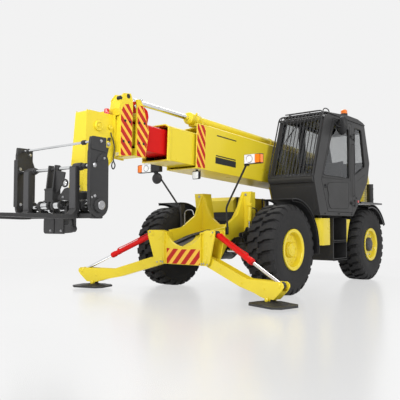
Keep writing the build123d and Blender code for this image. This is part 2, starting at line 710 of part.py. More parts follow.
# ---------------------------------------------------------------- outriggers
arm_outline = [(-20, 60), (180, 22), (806, -166), (1395, -158), (1428, -180), (1434, -215),
               (1400, -262), (1278, -367), (1216, -370), (1205, -412), (1150, -412), (1138, -370),
               (1060, -358), (940, -322), (677, -272), (0, -72)]
pocket_outline = [(70, 200), (1600, 200), (1600, -262), (1385, -262), (1268, -352),
                  (1236, -352), (1236, -440), (1118, -440), (1118, -352), (1060, -341),
                  (940, -306), (680, -256), (70, -72)]

for word, side in sides:
    flip = 1 if side > 0 else -1
    with BuildPart() as arm:
        extrude(outline(arm_plane(side, -flip * arm_half), arm_outline), amount=2 * arm_half)
        inside = arm_half - arm_flange
        extrude(outline(arm_plane(side, -flip * inside), pocket_outline), amount=2 * inside,
                mode=Mode.SUBTRACT)
        arm_pin(side, (0, 0), arm_half, 62)
        arm_pin(side, outrigger_ball, arm_half + 8, 14)
        arm_pin(side, (0, 0), arm_half + 1, 30 + fit, Mode.SUBTRACT)
    finish(arm.part, f"outrigger_arm_{word}")

    foot, eye = outrigger_foot, outrigger_eye
    length = hypot(eye[0] - foot[0], eye[1] - foot[1])
    way = ((eye[0] - foot[0]) / length, (eye[1] - foot[1]) / length)

    def spot(d):
        return (foot[0] + way[0] * d, foot[1] + way[1] * d)

    with BuildPart() as barrel:
        arm_bar(side, spot(25), spot(outrigger_barrel_length), outrigger_barrel_radius)
        arm_bar(side, spot(outrigger_barrel_length - 75), spot(outrigger_barrel_length - 15),
                outrigger_barrel_radius + 6)
        arm_pin(side, foot, 34, 38)
        arm_bar(side, spot(70), spot(outrigger_barrel_length + 1), outrigger_rod_radius + fit, 0,
                Mode.SUBTRACT)
        arm_pin(side, foot, 35, 22 + fit, Mode.SUBTRACT)
    finish(barrel.part, f"outrigger_barrel_{word}")
    with BuildPart() as rod:
        arm_bar(side, spot(length - outrigger_rod_length), spot(length - 25), outrigger_rod_radius)
        arm_pin(side, eye, 30, 34)
    finish(rod.part, f"outrigger_rod_{word}")
    with BuildPart() as pad:
        plane = arm_plane(side)
        middle = Vector(outrigger_ball[0] + 35, pad_z - outrigger_pivot[2], 0)
        centre = plane.from_local_coords(middle)
        floor = Plane(origin=centre, x_dir=plane.x_dir, z_dir=(0, 0, 1))
        with BuildSketch(floor) as sole:
            with BuildLine():
                Polyline((-270, -130), (-190, -210), (190, -210), (270, -130), (270, 130),
                         (190, 210), (-190, 210), (-270, 130), close=True)
            make_face()
        extrude(sole.sketch, amount=26)
        arm_pin(side, outrigger_ball, 36, 34)
        web = [(outrigger_ball[0] - 34, outrigger_ball[1]),
               (outrigger_ball[0] + 34, outrigger_ball[1]),
               (outrigger_ball[0] + 60, pad_z + 20 - outrigger_pivot[2]),
               (outrigger_ball[0] - 60, pad_z + 20 - outrigger_pivot[2])]
        extrude(outline(arm_plane(side, -flip * 36), web), amount=72)
        arm_pin(side, outrigger_ball, 37, 14 + fit, Mode.SUBTRACT)
    finish(pad.part, f"outrigger_pad_{word}")

# ---------------------------------------------------------------- lamps and beacon
lamp_units = [
    # side, stalk's top y, housing from y, to y
    (1, 850, 835, 1105),
    (-1, -805, -1150, -690),
]
with BuildPart() as lamp_stalks:
    for side, top, low, high in lamp_units:
        bar((440, side * 420, 900), (470, side * 420, 1200), 14)
        bar((470, side * 420, 1195), (610, top, 1790), 14)
        block((580, 660), (low, high), (1765, 1895))
finish(lamp_stalks.part, "lamp_stalks")

with BuildPart() as work_light:
    x, z = boom_at(4180, -284)
    block((x - 60, x), (150, 262), (z - 140, z - 30))
    block((x - 60, x - 30), (180, 230), (z - 35, z - 6))
finish(work_light.part, "work_light")

with BuildPart() as beacon:
    bar((-2297, 950, 2791), (-2297, 950, 2905), 38)
    bar((-2297, 950, 2904), (-2297, 950, 2980), 46)
finish(beacon.part, "beacon")

with BuildPart() as rear_body:
    slab([(-3560, 1345), (-2560, 1345), (-2560, 1375), (-3560, 1375)], 430, 1130)
    slab([(-3400, 1370), (-3400, 1780), (-3330, 1970), (-2935, 1970), (-2850, 1730),
          (-2600, 1420), (-2560, 1370)], 450, 950)
    slab([(-3540, 1345), (-3120, 1345), (-3120, 1375), (-3540, 1375)], 346, 440)
finish(rear_body.part, "rear_body")

with BuildPart() as exhaust:
    bar((-3190, 1045, 1376), (-3190, 1045, 1715), 58)
finish(exhaust.part, "exhaust")
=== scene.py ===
# Telehandler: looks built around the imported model.  Metres, X ahead, Y to the cab's side, Z up.
import json
import math

import bmesh
import bpy
from mathutils import Matrix, Vector


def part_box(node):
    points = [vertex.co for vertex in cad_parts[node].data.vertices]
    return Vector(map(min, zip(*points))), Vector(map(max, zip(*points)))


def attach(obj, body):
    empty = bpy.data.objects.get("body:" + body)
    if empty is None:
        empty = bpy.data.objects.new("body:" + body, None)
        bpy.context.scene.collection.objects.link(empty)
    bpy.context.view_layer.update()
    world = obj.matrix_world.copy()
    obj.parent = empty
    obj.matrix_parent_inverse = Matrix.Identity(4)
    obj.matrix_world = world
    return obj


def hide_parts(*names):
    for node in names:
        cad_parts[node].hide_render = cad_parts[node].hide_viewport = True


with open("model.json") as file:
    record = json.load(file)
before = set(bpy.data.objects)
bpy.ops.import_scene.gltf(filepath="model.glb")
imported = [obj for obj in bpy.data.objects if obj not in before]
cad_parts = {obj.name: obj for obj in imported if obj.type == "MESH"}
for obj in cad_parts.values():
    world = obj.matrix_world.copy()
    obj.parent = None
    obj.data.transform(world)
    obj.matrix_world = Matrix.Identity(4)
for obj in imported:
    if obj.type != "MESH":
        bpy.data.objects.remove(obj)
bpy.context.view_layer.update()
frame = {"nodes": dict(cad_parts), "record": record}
scene = bpy.context.scene
flanks = {"left": 1, "right": -1}
print("frame loaded,", len(frame["nodes"]), "nodes")


def mid(node):
    lo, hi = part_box(node)
    return (lo + hi) / 2


# places that everything else is measured from
axleX = mid("front_left_tyre").x  # the front axle; places below are ahead of it
hubZ = mid("front_left_tyre").z
wheelY = mid("front_left_tyre").y
wheelBase = axleX - mid("rear_left_tyre").x
boomPivot = Vector((-3.3, 0, 1.82))
boomAngle = math.radians(2.6)
armPivot = Vector((0.84, 0.42, 0.48))
armSplay = math.radians(15.5)


def at(x, y, z):
    return Vector((x + axleX, y, z))


def onBoom(s, y, t):  # s along the boom from its pivot, t up from it
    c, n = math.cos(boomAngle), math.sin(boomAngle)
    return at(boomPivot.x + s * c - t * n, y, boomPivot.z + s * n + t * c)


def onArm(side, u, n, v):  # u outward along a stabiliser, n ahead of its middle, v up
    c, w = math.cos(armSplay), math.sin(armSplay)
    return at(armPivot.x + u * w + n * c, side * (armPivot.y + u * c - n * w), armPivot.z + v)


# materials
def nodesOf(name):
    mat = bpy.data.materials.new(name)
    mat.use_nodes = True
    tree = mat.node_tree
    tree.nodes.clear()
    out = tree.nodes.new("ShaderNodeOutputMaterial")
    return mat, tree, out


def node(tree, kind, inputs=None, **values):  # an input is a socket to link from or a value
    made = tree.nodes.new("ShaderNode" + kind)
    for key, value in values.items():
        setattr(made, key, value)
    for key, value in (inputs or {}).items():
        if isinstance(value, bpy.types.NodeSocket):
            tree.links.new(value, made.inputs[key])
        else:
            made.inputs[key].default_value = value
    return made


def maths(tree, kind, first, second, **values):
    return node(tree, "Math", {0: first, 1: second}, operation=kind, **values).outputs[0]


def grain(tree, scale, detail=3.0, rough=0.5, stretch=None):
    coords = node(tree, "TexCoord").outputs["Object"]
    if stretch:
        mapping = node(tree, "Mapping", {"Scale": stretch, "Vector": coords})
        coords = mapping.outputs["Vector"]
    noise = node(tree, "TexNoise", {"Scale": scale, "Detail": detail, "Roughness": rough,
        "Vector": coords})
    return noise.outputs["Fac"]


def spread(tree, value, low, high, start=0.3, end=0.7):
    ranged = node(tree, "MapRange", {"From Min": start, "From Max": end, "To Min": low,
        "To Max": high, "Value": value})
    return ranged.outputs["Result"]


def blendColours(tree, factor, first, second):
    ends = [(*one, 1) if isinstance(one, tuple) else one for one in (first, second)]
    return node(tree, "Mix", {0: factor, 6: ends[0], 7: ends[1]}, data_type="RGBA").outputs[2]


def bumpFrom(tree, height, strength, distance):
    bump = node(tree, "Bump", {"Strength": strength, "Distance": distance, "Height": height})
    return bump.outputs["Normal"]


def mixed(tree, factor, first, second):
    return node(tree, "MixShader", {0: factor, 1: first, 2: second}).outputs[0]


def finished(mat, tree, out, shader, colour, alpha=1):
    tree.links.new(shader, out.inputs[0])
    mat.diffuse_color = (*colour, alpha)
    return mat


# each surface: colour, worn or dusty colour and how much of it, roughness range, grain of the bump
surfaces = {
    "yellowPaint": dict(colour=(0.745, 0.588, 0.024), tint=(0.6, 0.44, 0.03), amount=0.16,
                        rough=(0.26, 0.36), bump=(220, 0.06, 0.0006), coat=0.15, spec=0.4),
    "tapeYellow": dict(colour=(0.86, 0.5, 0.05), tint=(0.72, 0.38, 0.05), amount=0.2,
                       rough=(0.3, 0.4), bump=(90, 0.05, 0.0004), coat=0.1, spec=0.35),
    "tapeRed": dict(colour=(0.46, 0.014, 0.01), tint=(0.34, 0.012, 0.01), amount=0.25,
                    rough=(0.34, 0.44), bump=(90, 0.05, 0.0004), spec=0.28),
    "redPaint": dict(colour=(0.58, 0.007, 0.006), tint=(0.42, 0.006, 0.006), amount=0.25,
                     rough=(0.34, 0.46), bump=(220, 0.06, 0.0006), spec=0.16),
    "darkPaint": dict(colour=(0.03, 0.03, 0.031), tint=(0.062, 0.058, 0.054), amount=0.35,
                      rough=(0.38, 0.52), bump=(320, 0.12, 0.0006), spec=0.26),
    "greyPaint": dict(colour=(0.055, 0.055, 0.058), tint=(0.086, 0.082, 0.078), amount=0.3,
                      rough=(0.36, 0.48), bump=(320, 0.1, 0.0006), spec=0.28),
    "castIron": dict(colour=(0.042, 0.041, 0.04), tint=(0.085, 0.076, 0.066), amount=0.5,
                     rough=(0.55, 0.75), bump=(140, 0.45, 0.0015), spec=0.25),
    "blackPlastic": dict(colour=(0.02, 0.02, 0.021), tint=(0.042, 0.041, 0.04), amount=0.4,
                         rough=(0.42, 0.58), bump=(520, 0.22, 0.0005), spec=0.25),
    "tyreRubber": dict(colour=(0.016, 0.016, 0.017), tint=(0.048, 0.045, 0.041), amount=0.45,
                       rough=(0.62, 0.82), bump=(160, 0.3, 0.0012), spec=0.22),
    "sealRubber": dict(colour=(0.01, 0.01, 0.01), tint=(0.022, 0.022, 0.022), amount=0.3,
                       rough=(0.55, 0.7), bump=(400, 0.15, 0.0004)),
    "hosing": dict(colour=(0.014, 0.014, 0.015), tint=(0.04, 0.039, 0.037), amount=0.3,
                   rough=(0.45, 0.6), bump=(600, 0.3, 0.0004)),
    "amberLens": dict(colour=(0.9, 0.21, 0.01), tint=(0.75, 0.14, 0.008), amount=0.3,
                      rough=(0.1, 0.18), bump=(90, 0.1, 0.0006), coat=0.6),
    "redLens": dict(colour=(0.55, 0.012, 0.01), tint=(0.38, 0.008, 0.008), amount=0.3,
                    rough=(0.1, 0.18), bump=(90, 0.1, 0.0006), coat=0.6),
    "clearLens": dict(colour=(0.78, 0.8, 0.82), tint=(0.6, 0.63, 0.66), amount=0.35,
                      rough=(0.08, 0.16), bump=(90, 0.1, 0.0006), coat=0.6),
}


def makeSurface(name, colour, tint, amount, rough, bump, coat=0.0, spec=0.5):
    mat, tree, out = nodesOf(name)
    cloudy = grain(tree, 1.7, 4.0, 0.6)
    both = maths(tree, "MULTIPLY", spread(tree, cloudy, 0.2, 1.0, 0.35, 0.65),
        spread(tree, grain(tree, 38.0, 5.0, 0.65), 0.0, amount, 0.35, 0.75))
    scale, strength, distance = bump
    body = node(tree, "BsdfPrincipled", {
        "Base Color": blendColours(tree, both, colour, tint),
        "Roughness": spread(tree, cloudy, *rough),
        "Normal": bumpFrom(tree, grain(tree, scale, 2.0), strength, distance),
        "Specular IOR Level": spec, "Coat Weight": coat, "Coat Roughness": 0.09})
    return finished(mat, tree, out, body.outputs[0], colour)


def makeMetal(name, colour, rough, brushed, stretch):
    mat, tree, out = nodesOf(name)
    lines = grain(tree, brushed, 4.0, 0.7, stretch)
    dim = tuple(c * 0.72 for c in colour)
    dull = spread(tree, grain(tree, 3.0), 0.0, 0.5)
    body = node(tree, "BsdfPrincipled", {
        "Metallic": 1.0, "Base Color": blendColours(tree, dull, colour, dim),
        "Roughness": spread(tree, lines, *rough), "Normal": bumpFrom(tree, lines, 0.05, 0.0003)})
    return finished(mat, tree, out, body.outputs[0], colour)


def makeGlass(name, tint, streak):
    mat, tree, out = nodesOf(name)
    dusty = blendColours(tree, spread(tree, grain(tree, 2.2, 4.0, 0.6), 0.0, streak, 0.4, 0.7),
        tint, tuple(c * 0.75 for c in tint))
    # the tint takes more off the light than off the view
    dimmer = maths(tree, "MULTIPLY_ADD", node(tree, "LightPath").outputs["Is Shadow Ray"], -0.45)
    dimmer.node.inputs[2].default_value = 1.0
    dimmed = node(tree, "VectorMath", {0: dusty, "Scale": dimmer}, operation="SCALE")
    clear = node(tree, "BsdfTransparent", {"Color": dimmed.outputs["Vector"]})
    shine = node(tree, "BsdfGlossy", {"Roughness": 0.03, "Color": (0.95, 0.97, 1.0, 1)})
    # only the face met first shines
    front = maths(tree, "SUBTRACT", 1.0, node(tree, "NewGeometry").outputs["Backfacing"])
    shining = maths(tree, "MULTIPLY", node(tree, "Fresnel", {"IOR": 1.45}).outputs[0], front)
    shader = mixed(tree, shining, clear.outputs[0], shine.outputs[0])
    return finished(mat, tree, out, shader, tint, 0.4)


def makeCloth(name, colour, thread):
    mat, tree, out = nodesOf(name)
    coords = node(tree, "TexCoord").outputs["Object"]
    waves = [node(tree, "TexWave", {"Scale": 1 / thread / 6.28, "Distortion": 0.6,
        "Vector": coords}, bands_direction=way).outputs["Fac"] for way in ("X", "Z")]
    half = spread(tree, maths(tree, "ADD", *waves), 0.0, 1.0, 0.0, 2.0)
    fleck = blendColours(tree, half, tuple(c * 0.55 for c in colour), colour)
    worn = blendColours(tree, spread(tree, grain(tree, 5.0, 4.0), 0.0, 0.35), fleck,
        tuple(min(1, c * 1.35) for c in colour))
    body = node(tree, "BsdfPrincipled", {
        "Base Color": worn, "Roughness": 0.85, "Sheen Weight": 0.35, "Sheen Roughness": 0.4,
        "Normal": bumpFrom(tree, half, 0.35, 0.0015)})
    return finished(mat, tree, out, body.outputs[0], colour)


finish = {name: makeSurface(name, **look) for name, look in surfaces.items()}
finish["chrome"] = makeMetal("chrome", (0.8, 0.81, 0.82), (0.06, 0.16), 60, (1, 14, 14))
finish["steel"] = makeMetal("steel", (0.42, 0.42, 0.43), (0.28, 0.42), 45, (2, 10, 10))
finish["mirrorGlass"] = makeMetal("mirrorGlass", (0.62, 0.65, 0.68), (0.02, 0.05), 20, (1, 1, 1))
finish["windowGlass"] = makeGlass("windowGlass", (0.77, 0.775, 0.775), 0.15)
finish["seatCloth"] = makeCloth("seatCloth", (0.115, 0.115, 0.12), 0.006)
print("materials made,", len(finish))


# CAD pieces that stay: finish by the record's slot, edges eased
slotFinish = {
    "yellow_paint": "yellowPaint", "red_paint": "redPaint", "dark_paint": "darkPaint",
    "grey_paint": "greyPaint", "cast": "castIron", "chrome_rod": "chrome",
    "tyre_rubber": "tyreRubber", "clear_glass": "windowGlass", "seat_cloth": "seatCloth",
    "amber_lens": "amberLens", "black_plastic": "blackPlastic",
}
edgeWidth = {"default": 0.004, "cab_frame": 0.024, "cab_door": 0.006,
             "boom_outer": 0.008, "boom_second": 0.007, "boom_third": 0.007, "boom_head": 0.012,
             "third_collar": 0.004, "head_collar": 0.004, "engine_cover": 0.02,
             "rear_body": 0.02, "cab_roof": 0.012, "chrome_rod": 0.001, "tilt_rod": 0.002,
             "lift_rod": 0.003}


def easeEdges(obj, width, weld=True):
    if weld:
        welder = obj.modifiers.new("weld", "WELD")
        welder.merge_threshold = 0.00005
        flat = obj.modifiers.new("flatFaces", "DECIMATE")
        flat.decimate_type = "DISSOLVE"
        flat.angle_limit = math.radians(0.6)
    if width:
        ease = obj.modifiers.new("ease", "BEVEL")
        ease.width = width
        ease.segments = 3
        ease.limit_method = "ANGLE"
        ease.angle_limit = math.radians(32)
        ease.harden_normals = True


for part in frame["record"]["subparts"]:
    obj = frame["nodes"][part["node"]]
    obj.data.materials.clear()
    obj.data.materials.append(finish[slotFinish[part["material_slot"]]])
    easeEdges(obj, edgeWidth.get(part["node"], edgeWidth["default"]))
print("frame nodes finished")


# shapes
slotOf = {finishName: slot for slot, finishName in slotFinish.items()}
slotOf.update({"hosing": "black_plastic", "sealRubber": "black_plastic"})


def rounded(points, radius, steps=4):  # an outline with its corners eased
    made = []
    for i, corner in enumerate(points):
        p = Vector(corner)
        before, after = Vector(points[i - 1]) - p, Vector(points[(i + 1) % len(points)]) - p
        cut = min(radius, 0.45 * before.length, 0.45 * after.length)
        a, b = p + before.normalized() * cut, p + after.normalized() * cut
        for k in range(steps + 1):
            f = k / steps
            made.append(tuple(a * (1 - f) ** 2 + p * 2 * f * (1 - f) + b * f * f))
    return made


def around(count, shift=0):  # cosine and sine of even steps round a circle
    turns = [math.tau * (i + shift) / count for i in range(count)]
    return [(math.cos(a), math.sin(a)) for a in turns]


def ringOf(radius, sides, middle=(0, 0)):
    return [(middle[0] + radius * c, middle[1] + radius * s) for c, s in around(sides)]


def oblong(u, v, u1, v1):  # the corners of a rectangle, from one to the opposite one
    return [(u, v), (u1, v), (u1, v1), (u, v1)]


def sideView(side=1):  # an outline in x and z, thickness across the machine
    return lambda u, v, w: at(u, side * w, v)


def frontView(u, v, w):  # an outline in y and z, thickness along x
    return at(w, u, v)


def topView(u, v, w):
    return at(u, v, w)


def solid(*spots):  # a turned profile from flat foot to flat top, closed on the axis
    return [(0, 0), (spots[0][0], 0), *spots, (0, spots[-1][1])]


def collar(inner, outer, low, high, top):  # a turned band with sloping ends
    return [(inner, 0), (outer, low), (outer, high), (inner, top)]


def inPlane(y, *spots):  # points in x and z, all at one y
    return [at(x, y, z) for x, z in spots]


def addPlate(bm, outline, place, low, high, holes=()):  # holes are (u, v, radius)
    loops = [outline] + [ringOf(r, 14, (u, v)) for u, v, r in holes]
    caps = []
    for w in (low, high):
        rims = [[bm.verts.new(place(u, v, w)) for u, v in loop] for loop in loops]
        caps.append(rims)
        if holes:
            edges = [bm.edges.new((rim[i - 1], rim[i])) for rim in rims for i in range(len(rim))]
            bmesh.ops.triangle_fill(bm, use_beauty=True, use_dissolve=False, edges=edges)
        else:
            bm.faces.new(rims[0])
    for a, b in zip(*caps):
        for i in range(len(a)):
            bm.faces.new((a[i - 1], a[i], b[i], b[i - 1]))


def addBox(bm, lo, hi, place=None):
    place = place or at
    corners = [bm.verts.new(place(x, y, z)) for x in (lo[0], hi[0]) for y in (lo[1], hi[1])
        for z in (lo[2], hi[2])]
    for a, b, c, d in ((0, 1, 3, 2), (4, 6, 7, 5), (0, 4, 5, 1), (2, 3, 7, 6), (0, 2, 6, 4),
            (1, 5, 7, 3)):
        bm.faces.new([corners[i] for i in (a, b, c, d)])


def addSkin(bm, rows, closed=False):  # faces from row to row, ends filled unless it closes
    for p, q in zip(rows, rows[1:] + (rows[:1] if closed else [])):
        for k in range(len(p)):
            bm.faces.new((p[k - 1], p[k], q[k], q[k - 1]))
    if not closed:
        bm.faces.new(rows[0])
        bm.faces.new(rows[-1])


def addLathe(bm, origin, axis, profile, sides=32, closed=False, first=None):
    way = Vector(axis).normalized()
    u = Vector(first) if first else way.orthogonal()
    u.normalize()
    v = way.cross(u)
    rings = []
    for r, h in profile:  # radius and height along the axis
        centre = Vector(origin) + way * h
        spots = ringOf(r, sides) if r > 1e-6 else [(0, 0)]
        rings.append([bm.verts.new(centre + u * a + v * b) for a, b in spots])
    for a, b in list(zip(rings, rings[1:])) + ([(rings[-1], rings[0])] if closed else []):
        for i in range(sides):
            j = (i + 1) % sides
            corners = []
            for vert in (a[i % len(a)], a[j % len(a)], b[j % len(b)], b[i % len(b)]):
                if vert not in corners:
                    corners.append(vert)
            if len(corners) > 2:
                bm.faces.new(corners)


def addRod(bm, start, end, radius, sides=20, ease=0.12, bore=0.0):
    start, end = Vector(start), Vector(end)
    length, cut = (end - start).length, radius * ease
    profile = [(bore, 0), (radius - cut, 0), (radius, cut), (radius, length - cut),
        (radius - cut, length), (bore, length)]
    addLathe(bm, start, end - start, profile, sides, closed=bore > 0)


def addBolt(bm, spot, way, size, washer=True):  # size is the thread's radius
    if washer:
        addLathe(bm, spot, way, oblong(0, 0, size * 2.1, size * 0.3), 14)
    addLathe(bm, spot, way, [(0, 0), (size * 1.75, size * 0.3), (size * 1.75, size * 1.3),
        (size * 1.5, size * 1.5), (0, size * 1.5)], 6)


def settle(obj, body, materials, stands):  # into the scene, with its finishes, on its body
    scene.collection.objects.link(obj)
    for one in materials:
        obj.data.materials.append(finish[one])
    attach(obj, body)
    if stands:
        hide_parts(*stands)
    return obj


def makePiece(bm, name, body, material, ease=0.0015, bend=35, stands=()):
    bmesh.ops.recalc_face_normals(bm, faces=bm.faces)
    for face in bm.faces:
        face.smooth = True
    for edge in bm.edges:
        edge.smooth = edge.calc_face_angle(0.0) < math.radians(bend)
    mesh = bpy.data.meshes.new(name)
    bm.to_mesh(mesh)
    bm.free()
    obj = bpy.data.objects.new(name, mesh)
    if ease:
        easeEdges(obj, ease, weld=False)
    return settle(obj, body, [material] if isinstance(material, str) else material, stands)


def layPipes(name, body, material, radius, runs, stands=()):  # runs are lists of points
    data = bpy.data.curves.new(name, "CURVE")
    data.dimensions = "3D"
    data.bevel_depth = radius
    data.bevel_resolution = 3
    data.resolution_u = 6
    data.use_fill_caps = True
    for points in runs:
        spline = data.splines.new("NURBS")
        spline.points.add(len(points) - 1)
        for point, place in zip(spline.points, points):
            point.co = (*place, 1)
        spline.order_u = 3
        spline.use_endpoint_u = True
    return settle(bpy.data.objects.new(name, data), body, [material], stands)


def paintBands(bm, across, bands, shift=0.0):  # splits faces into slanting red and yellow bands
    across = Vector(across).normalized()
    values = [v.co.dot(across) for v in bm.verts]
    pitch, red = bands["pitch"], bands["red"]
    step = math.floor((min(values) - shift) / pitch)
    while step * pitch + shift < max(values):
        for cut in (step * pitch + shift, step * pitch + shift + red):
            if min(values) < cut < max(values):
                everything = bm.verts[:] + bm.edges[:] + bm.faces[:]
                bmesh.ops.bisect_plane(bm, geom=everything, dist=1e-6, plane_no=across,
                    plane_co=across * cut)
        step += 1
    for face in bm.faces:
        place = (face.calc_center_median().dot(across) - shift) % pitch
        face.material_index = 1 if place < red else 0


# wheels
tyre = dict(groove=0.583, halfTread=0.178, lugs=26, lugShare=0.62)
sidewallProfile = [  # radius, half width
    (0.285, 0.186), (0.298, 0.195), (0.312, 0.191), (0.334, 0.197), (0.385, 0.203),
    (0.43, 0.2075), (0.458, 0.2085), (0.49, 0.206), (0.512, 0.202), (0.524, 0.2045),
    (0.533, 0.2), (0.56, 0.19), (0.583, 0.172)]
rims = {
    "front": dict(dish=0.115, cap=0.176, capRadius=0.108, nuts=10, nutRing=0.178, dark=False),
    "rear": dict(dish=0.135, cap=0.196, capRadius=0.122, nuts=10, nutRing=0.182, dark=True),
}


def tyreMesh():
    bm = bmesh.new()
    outer = [(r, -w) for r, w in reversed(sidewallProfile)]
    across = [(tyre["groove"], w) for w in (0.12, 0.0, -0.12)]
    addLathe(bm, (0, 0, 0), (0, 1, 0), sidewallProfile + across + outer, 104, closed=True)
    # lugs: each runs from the middle to a shoulder, stepping back half way
    step = math.tau / tyre["lugs"]
    for row in (1, -1):
        for i in range(tyre["lugs"]):
            start = step * (i + (0.0 if row > 0 else 0.5))
            half = step * tyre["lugShare"] / 2
            stations = [  # share of the half tread, turn in steps, height
                (-0.03, 0.0, 0.625), (0.34, 0.1, 0.625), (0.46, 0.34, 0.625),
                (0.88, 0.46, 0.62), (1.0, 0.48, 0.606)]
            lines = []
            for share, swing, high in stations:
                w = row * share * tyre["halfTread"]
                a = start + swing * step * row * 0.9
                wide = half * (0.8 if share < 0.4 else 1.0)
                lines.append([(high, a - wide, w), (high, a + wide, w),
                    (0.575, a + wide * 1.12, w), (0.575, a - wide * 1.12, w)])
            w = row * 0.2045
            a = start + 0.5 * step * row * 0.9
            lines.append([(0.566, a - half * 0.9, w), (0.566, a + half * 0.9, w),
                (0.528, a + half * 0.8, w * 0.985), (0.528, a - half * 0.8, w * 0.985)])
            rings = [[bm.verts.new((r * math.cos(t), y, r * math.sin(t))) for r, t, y in line]
                for line in lines]
            addSkin(bm, rings)
    return bm


def rimMesh(look):
    bm = bmesh.new()
    dish, hub = look["dish"], look["capRadius"]
    profile = [(0.05, -0.125), (hub, -0.125), (hub, dish - 0.012), (0.16, dish - 0.006),
        (0.205, dish - 0.012), (0.232, dish - 0.03), (0.248, -0.17), (0.272, -0.186),
        (0.283, -0.19), (0.283, 0.19), (0.283, 0.2035), (0.27, 0.204), (0.244, 0.198),
        (0.236, 0.19), (0.231, dish + 0.03), (0.222, dish + 0.006), (0.207, dish - 0.002),
        (0.196, dish + 0.01), (0.16, dish + 0.012), (hub + 0.012, dish + 0.008),
        (0.05, dish + 0.008)]
    addLathe(bm, (0, 0, 0), (0, 1, 0), profile, 64, closed=True)
    for c, s in around(12, 0.5):  # pressed bosses between the nuts
        addLathe(bm, (0.152 * c, dish + 0.01, 0.152 * s), (0, 1, 0), [(0, 0), (0.013, 0),
            (0.011, 0.006), (0, 0.007)], 10)
    return bm


def hubMesh(look):
    bm = bmesh.new()
    dish, cap, hub = look["dish"], look["cap"], look["capRadius"]
    addLathe(bm, (0, 0, 0), (0, 1, 0), [(0, dish), (hub, dish), (hub, dish + 0.03),
        (hub * 0.93, dish + 0.04), (hub * 0.9, cap - 0.03), (hub * 0.8, cap - 0.008),
        (hub * 0.45, cap - 0.006), (hub * 0.42, cap), (0, cap)], 40)
    for c, s in around(6):
        addBolt(bm, (hub * 0.62 * c, cap - 0.01, hub * 0.62 * s), (0, 1, 0), 0.005, washer=False)
    return bm


def nutMesh(look):
    bm = bmesh.new()
    for c, s in around(look["nuts"]):
        r = look["nutRing"]
        addBolt(bm, (r * c, look["dish"] + 0.006, r * s), (0, 1, 0), 0.0095)
    addLathe(bm, (0.222, look["dish"] + 0.012, 0), (0.25, 1, 0),  # tyre valve
             solid((0.006, 0.02), (0.004, 0.022), (0.004, 0.032)), 10)
    return bm


def setWheel(obj, middle, side):
    # the meshes are made round the origin with +Y outward
    if side < 0:
        obj.data.transform(Matrix.Rotation(math.pi, 4, "Z"))
    obj.data.transform(Matrix.Translation(middle))


def makeWheels():
    for place in ("front", "rear"):
        look = rims[place]
        for word, side in flanks.items():
            key = f"{place}_{word}"
            middle = mid(f"{key}_tyre")
            middle.y = side * wheelY
            wheelBody = f"{key}_wheel"
            pieces = [
                makePiece(tyreMesh(), f"{key}_tyre_tread", wheelBody, "tyreRubber", ease=0.0035,
                          bend=30, stands=(f"{key}_tyre",)),
                makePiece(rimMesh(look), f"{key}_rim_dish", wheelBody, "yellowPaint", ease=0.0015,
                          bend=40, stands=(f"{key}_rim",)),
                makePiece(hubMesh(look), f"{key}_hub_cap", wheelBody,
                          "greyPaint" if look["dark"] else "yellowPaint", ease=0.0015),
                makePiece(nutMesh(look), f"{key}_wheel_nuts", wheelBody,
                          "steel" if look["dark"] else "yellowPaint", ease=0),
            ]
            for obj in pieces:
                setWheel(obj, middle, side)


# mudguards: a rolled shell over each wheel, carried with the knuckle
guard = dict(radius=0.69, thick=0.012, inner=0.778, outer=1.25, lip=0.03)
guardSpan = {"front": (84, 187), "rear": (76, 150)}  # degrees from ahead over the top


def makeMudguard(key, centre, side, span):
    bm = bmesh.new()
    first, last = (math.radians(a) for a in span)
    steps = 30
    # section across: hanging lip outside, flat top, inner edge
    section = [(guard["outer"], -guard["lip"]), (guard["outer"], 0.004),
        (guard["outer"] - 0.012, guard["thick"]), (guard["inner"] + 0.01, guard["thick"]),
        (guard["inner"], 0.006), (guard["inner"], -0.012), (guard["inner"] + 0.012, -0.012),
        (guard["inner"] + 0.014, 0.0), (guard["outer"] - 0.016, 0.0),
        (guard["outer"] - 0.01, -guard["lip"])]
    rings = []
    for i in range(steps + 1):
        a = first + (last - first) * i / steps
        rings.append([bm.verts.new((centre.x + (guard["radius"] + h) * math.cos(a), side * y,
            centre.z + (guard["radius"] + h) * math.sin(a))) for y, h in section])
    addSkin(bm, rings)
    return makePiece(bm, f"{key}_mudguard", f"{key}_steer", "blackPlastic", ease=0.002, bend=30)


def makeKnuckle(key, centre, side):
    bm = bmesh.new()
    x, z = centre.x - axleX, centre.z
    inner, outer = 0.7, wheelY - 0.13
    spot = at(x, side * inner, z)
    addLathe(bm, spot, (0, side, 0), [(0, 0), (0.088, 0), (0.098, 0.015), (0.098, 0.11),
        (0.115, 0.125), (0.115, outer - inner - 0.012), (0.108, outer - inner),
        (0, outer - inner)], 36)
    addRod(bm, at(x, side * inner, z - 0.137), at(x, side * inner, z + 0.137), 0.055)
    addRod(bm, at(x, side * (outer - 0.01), z), at(x, side * (wheelY - 0.022), z), 0.045)
    for top in (1, -1):  # kingpin caps
        addLathe(bm, at(x, side * inner, z + top * 0.128), (0, 0, top),
            solid((0.054, 0.006), (0.046, 0.009)), 24)
    for c, s in around(12):
        addBolt(bm, at(x + 0.101 * c, side * (outer - 0.001), z + 0.101 * s), (0, side, 0), 0.005,
            washer=False)
    # bracket up to the mudguard
    top = z + guard["radius"] + 0.001
    addPlate(bm, [(x - 0.06, z + 0.05), (x - 0.04, top), (x + 0.04, top), (x + 0.06, z + 0.05)],
        sideView(side), 0.78, 0.796, holes=[(x, z + 0.3, 0.022), (x, z + 0.5, 0.018)])
    return makePiece(bm, f"{key}_knuckle_casting", f"{key}_steer", "castIron", ease=0.002,
        stands=(f"{key}_knuckle",))


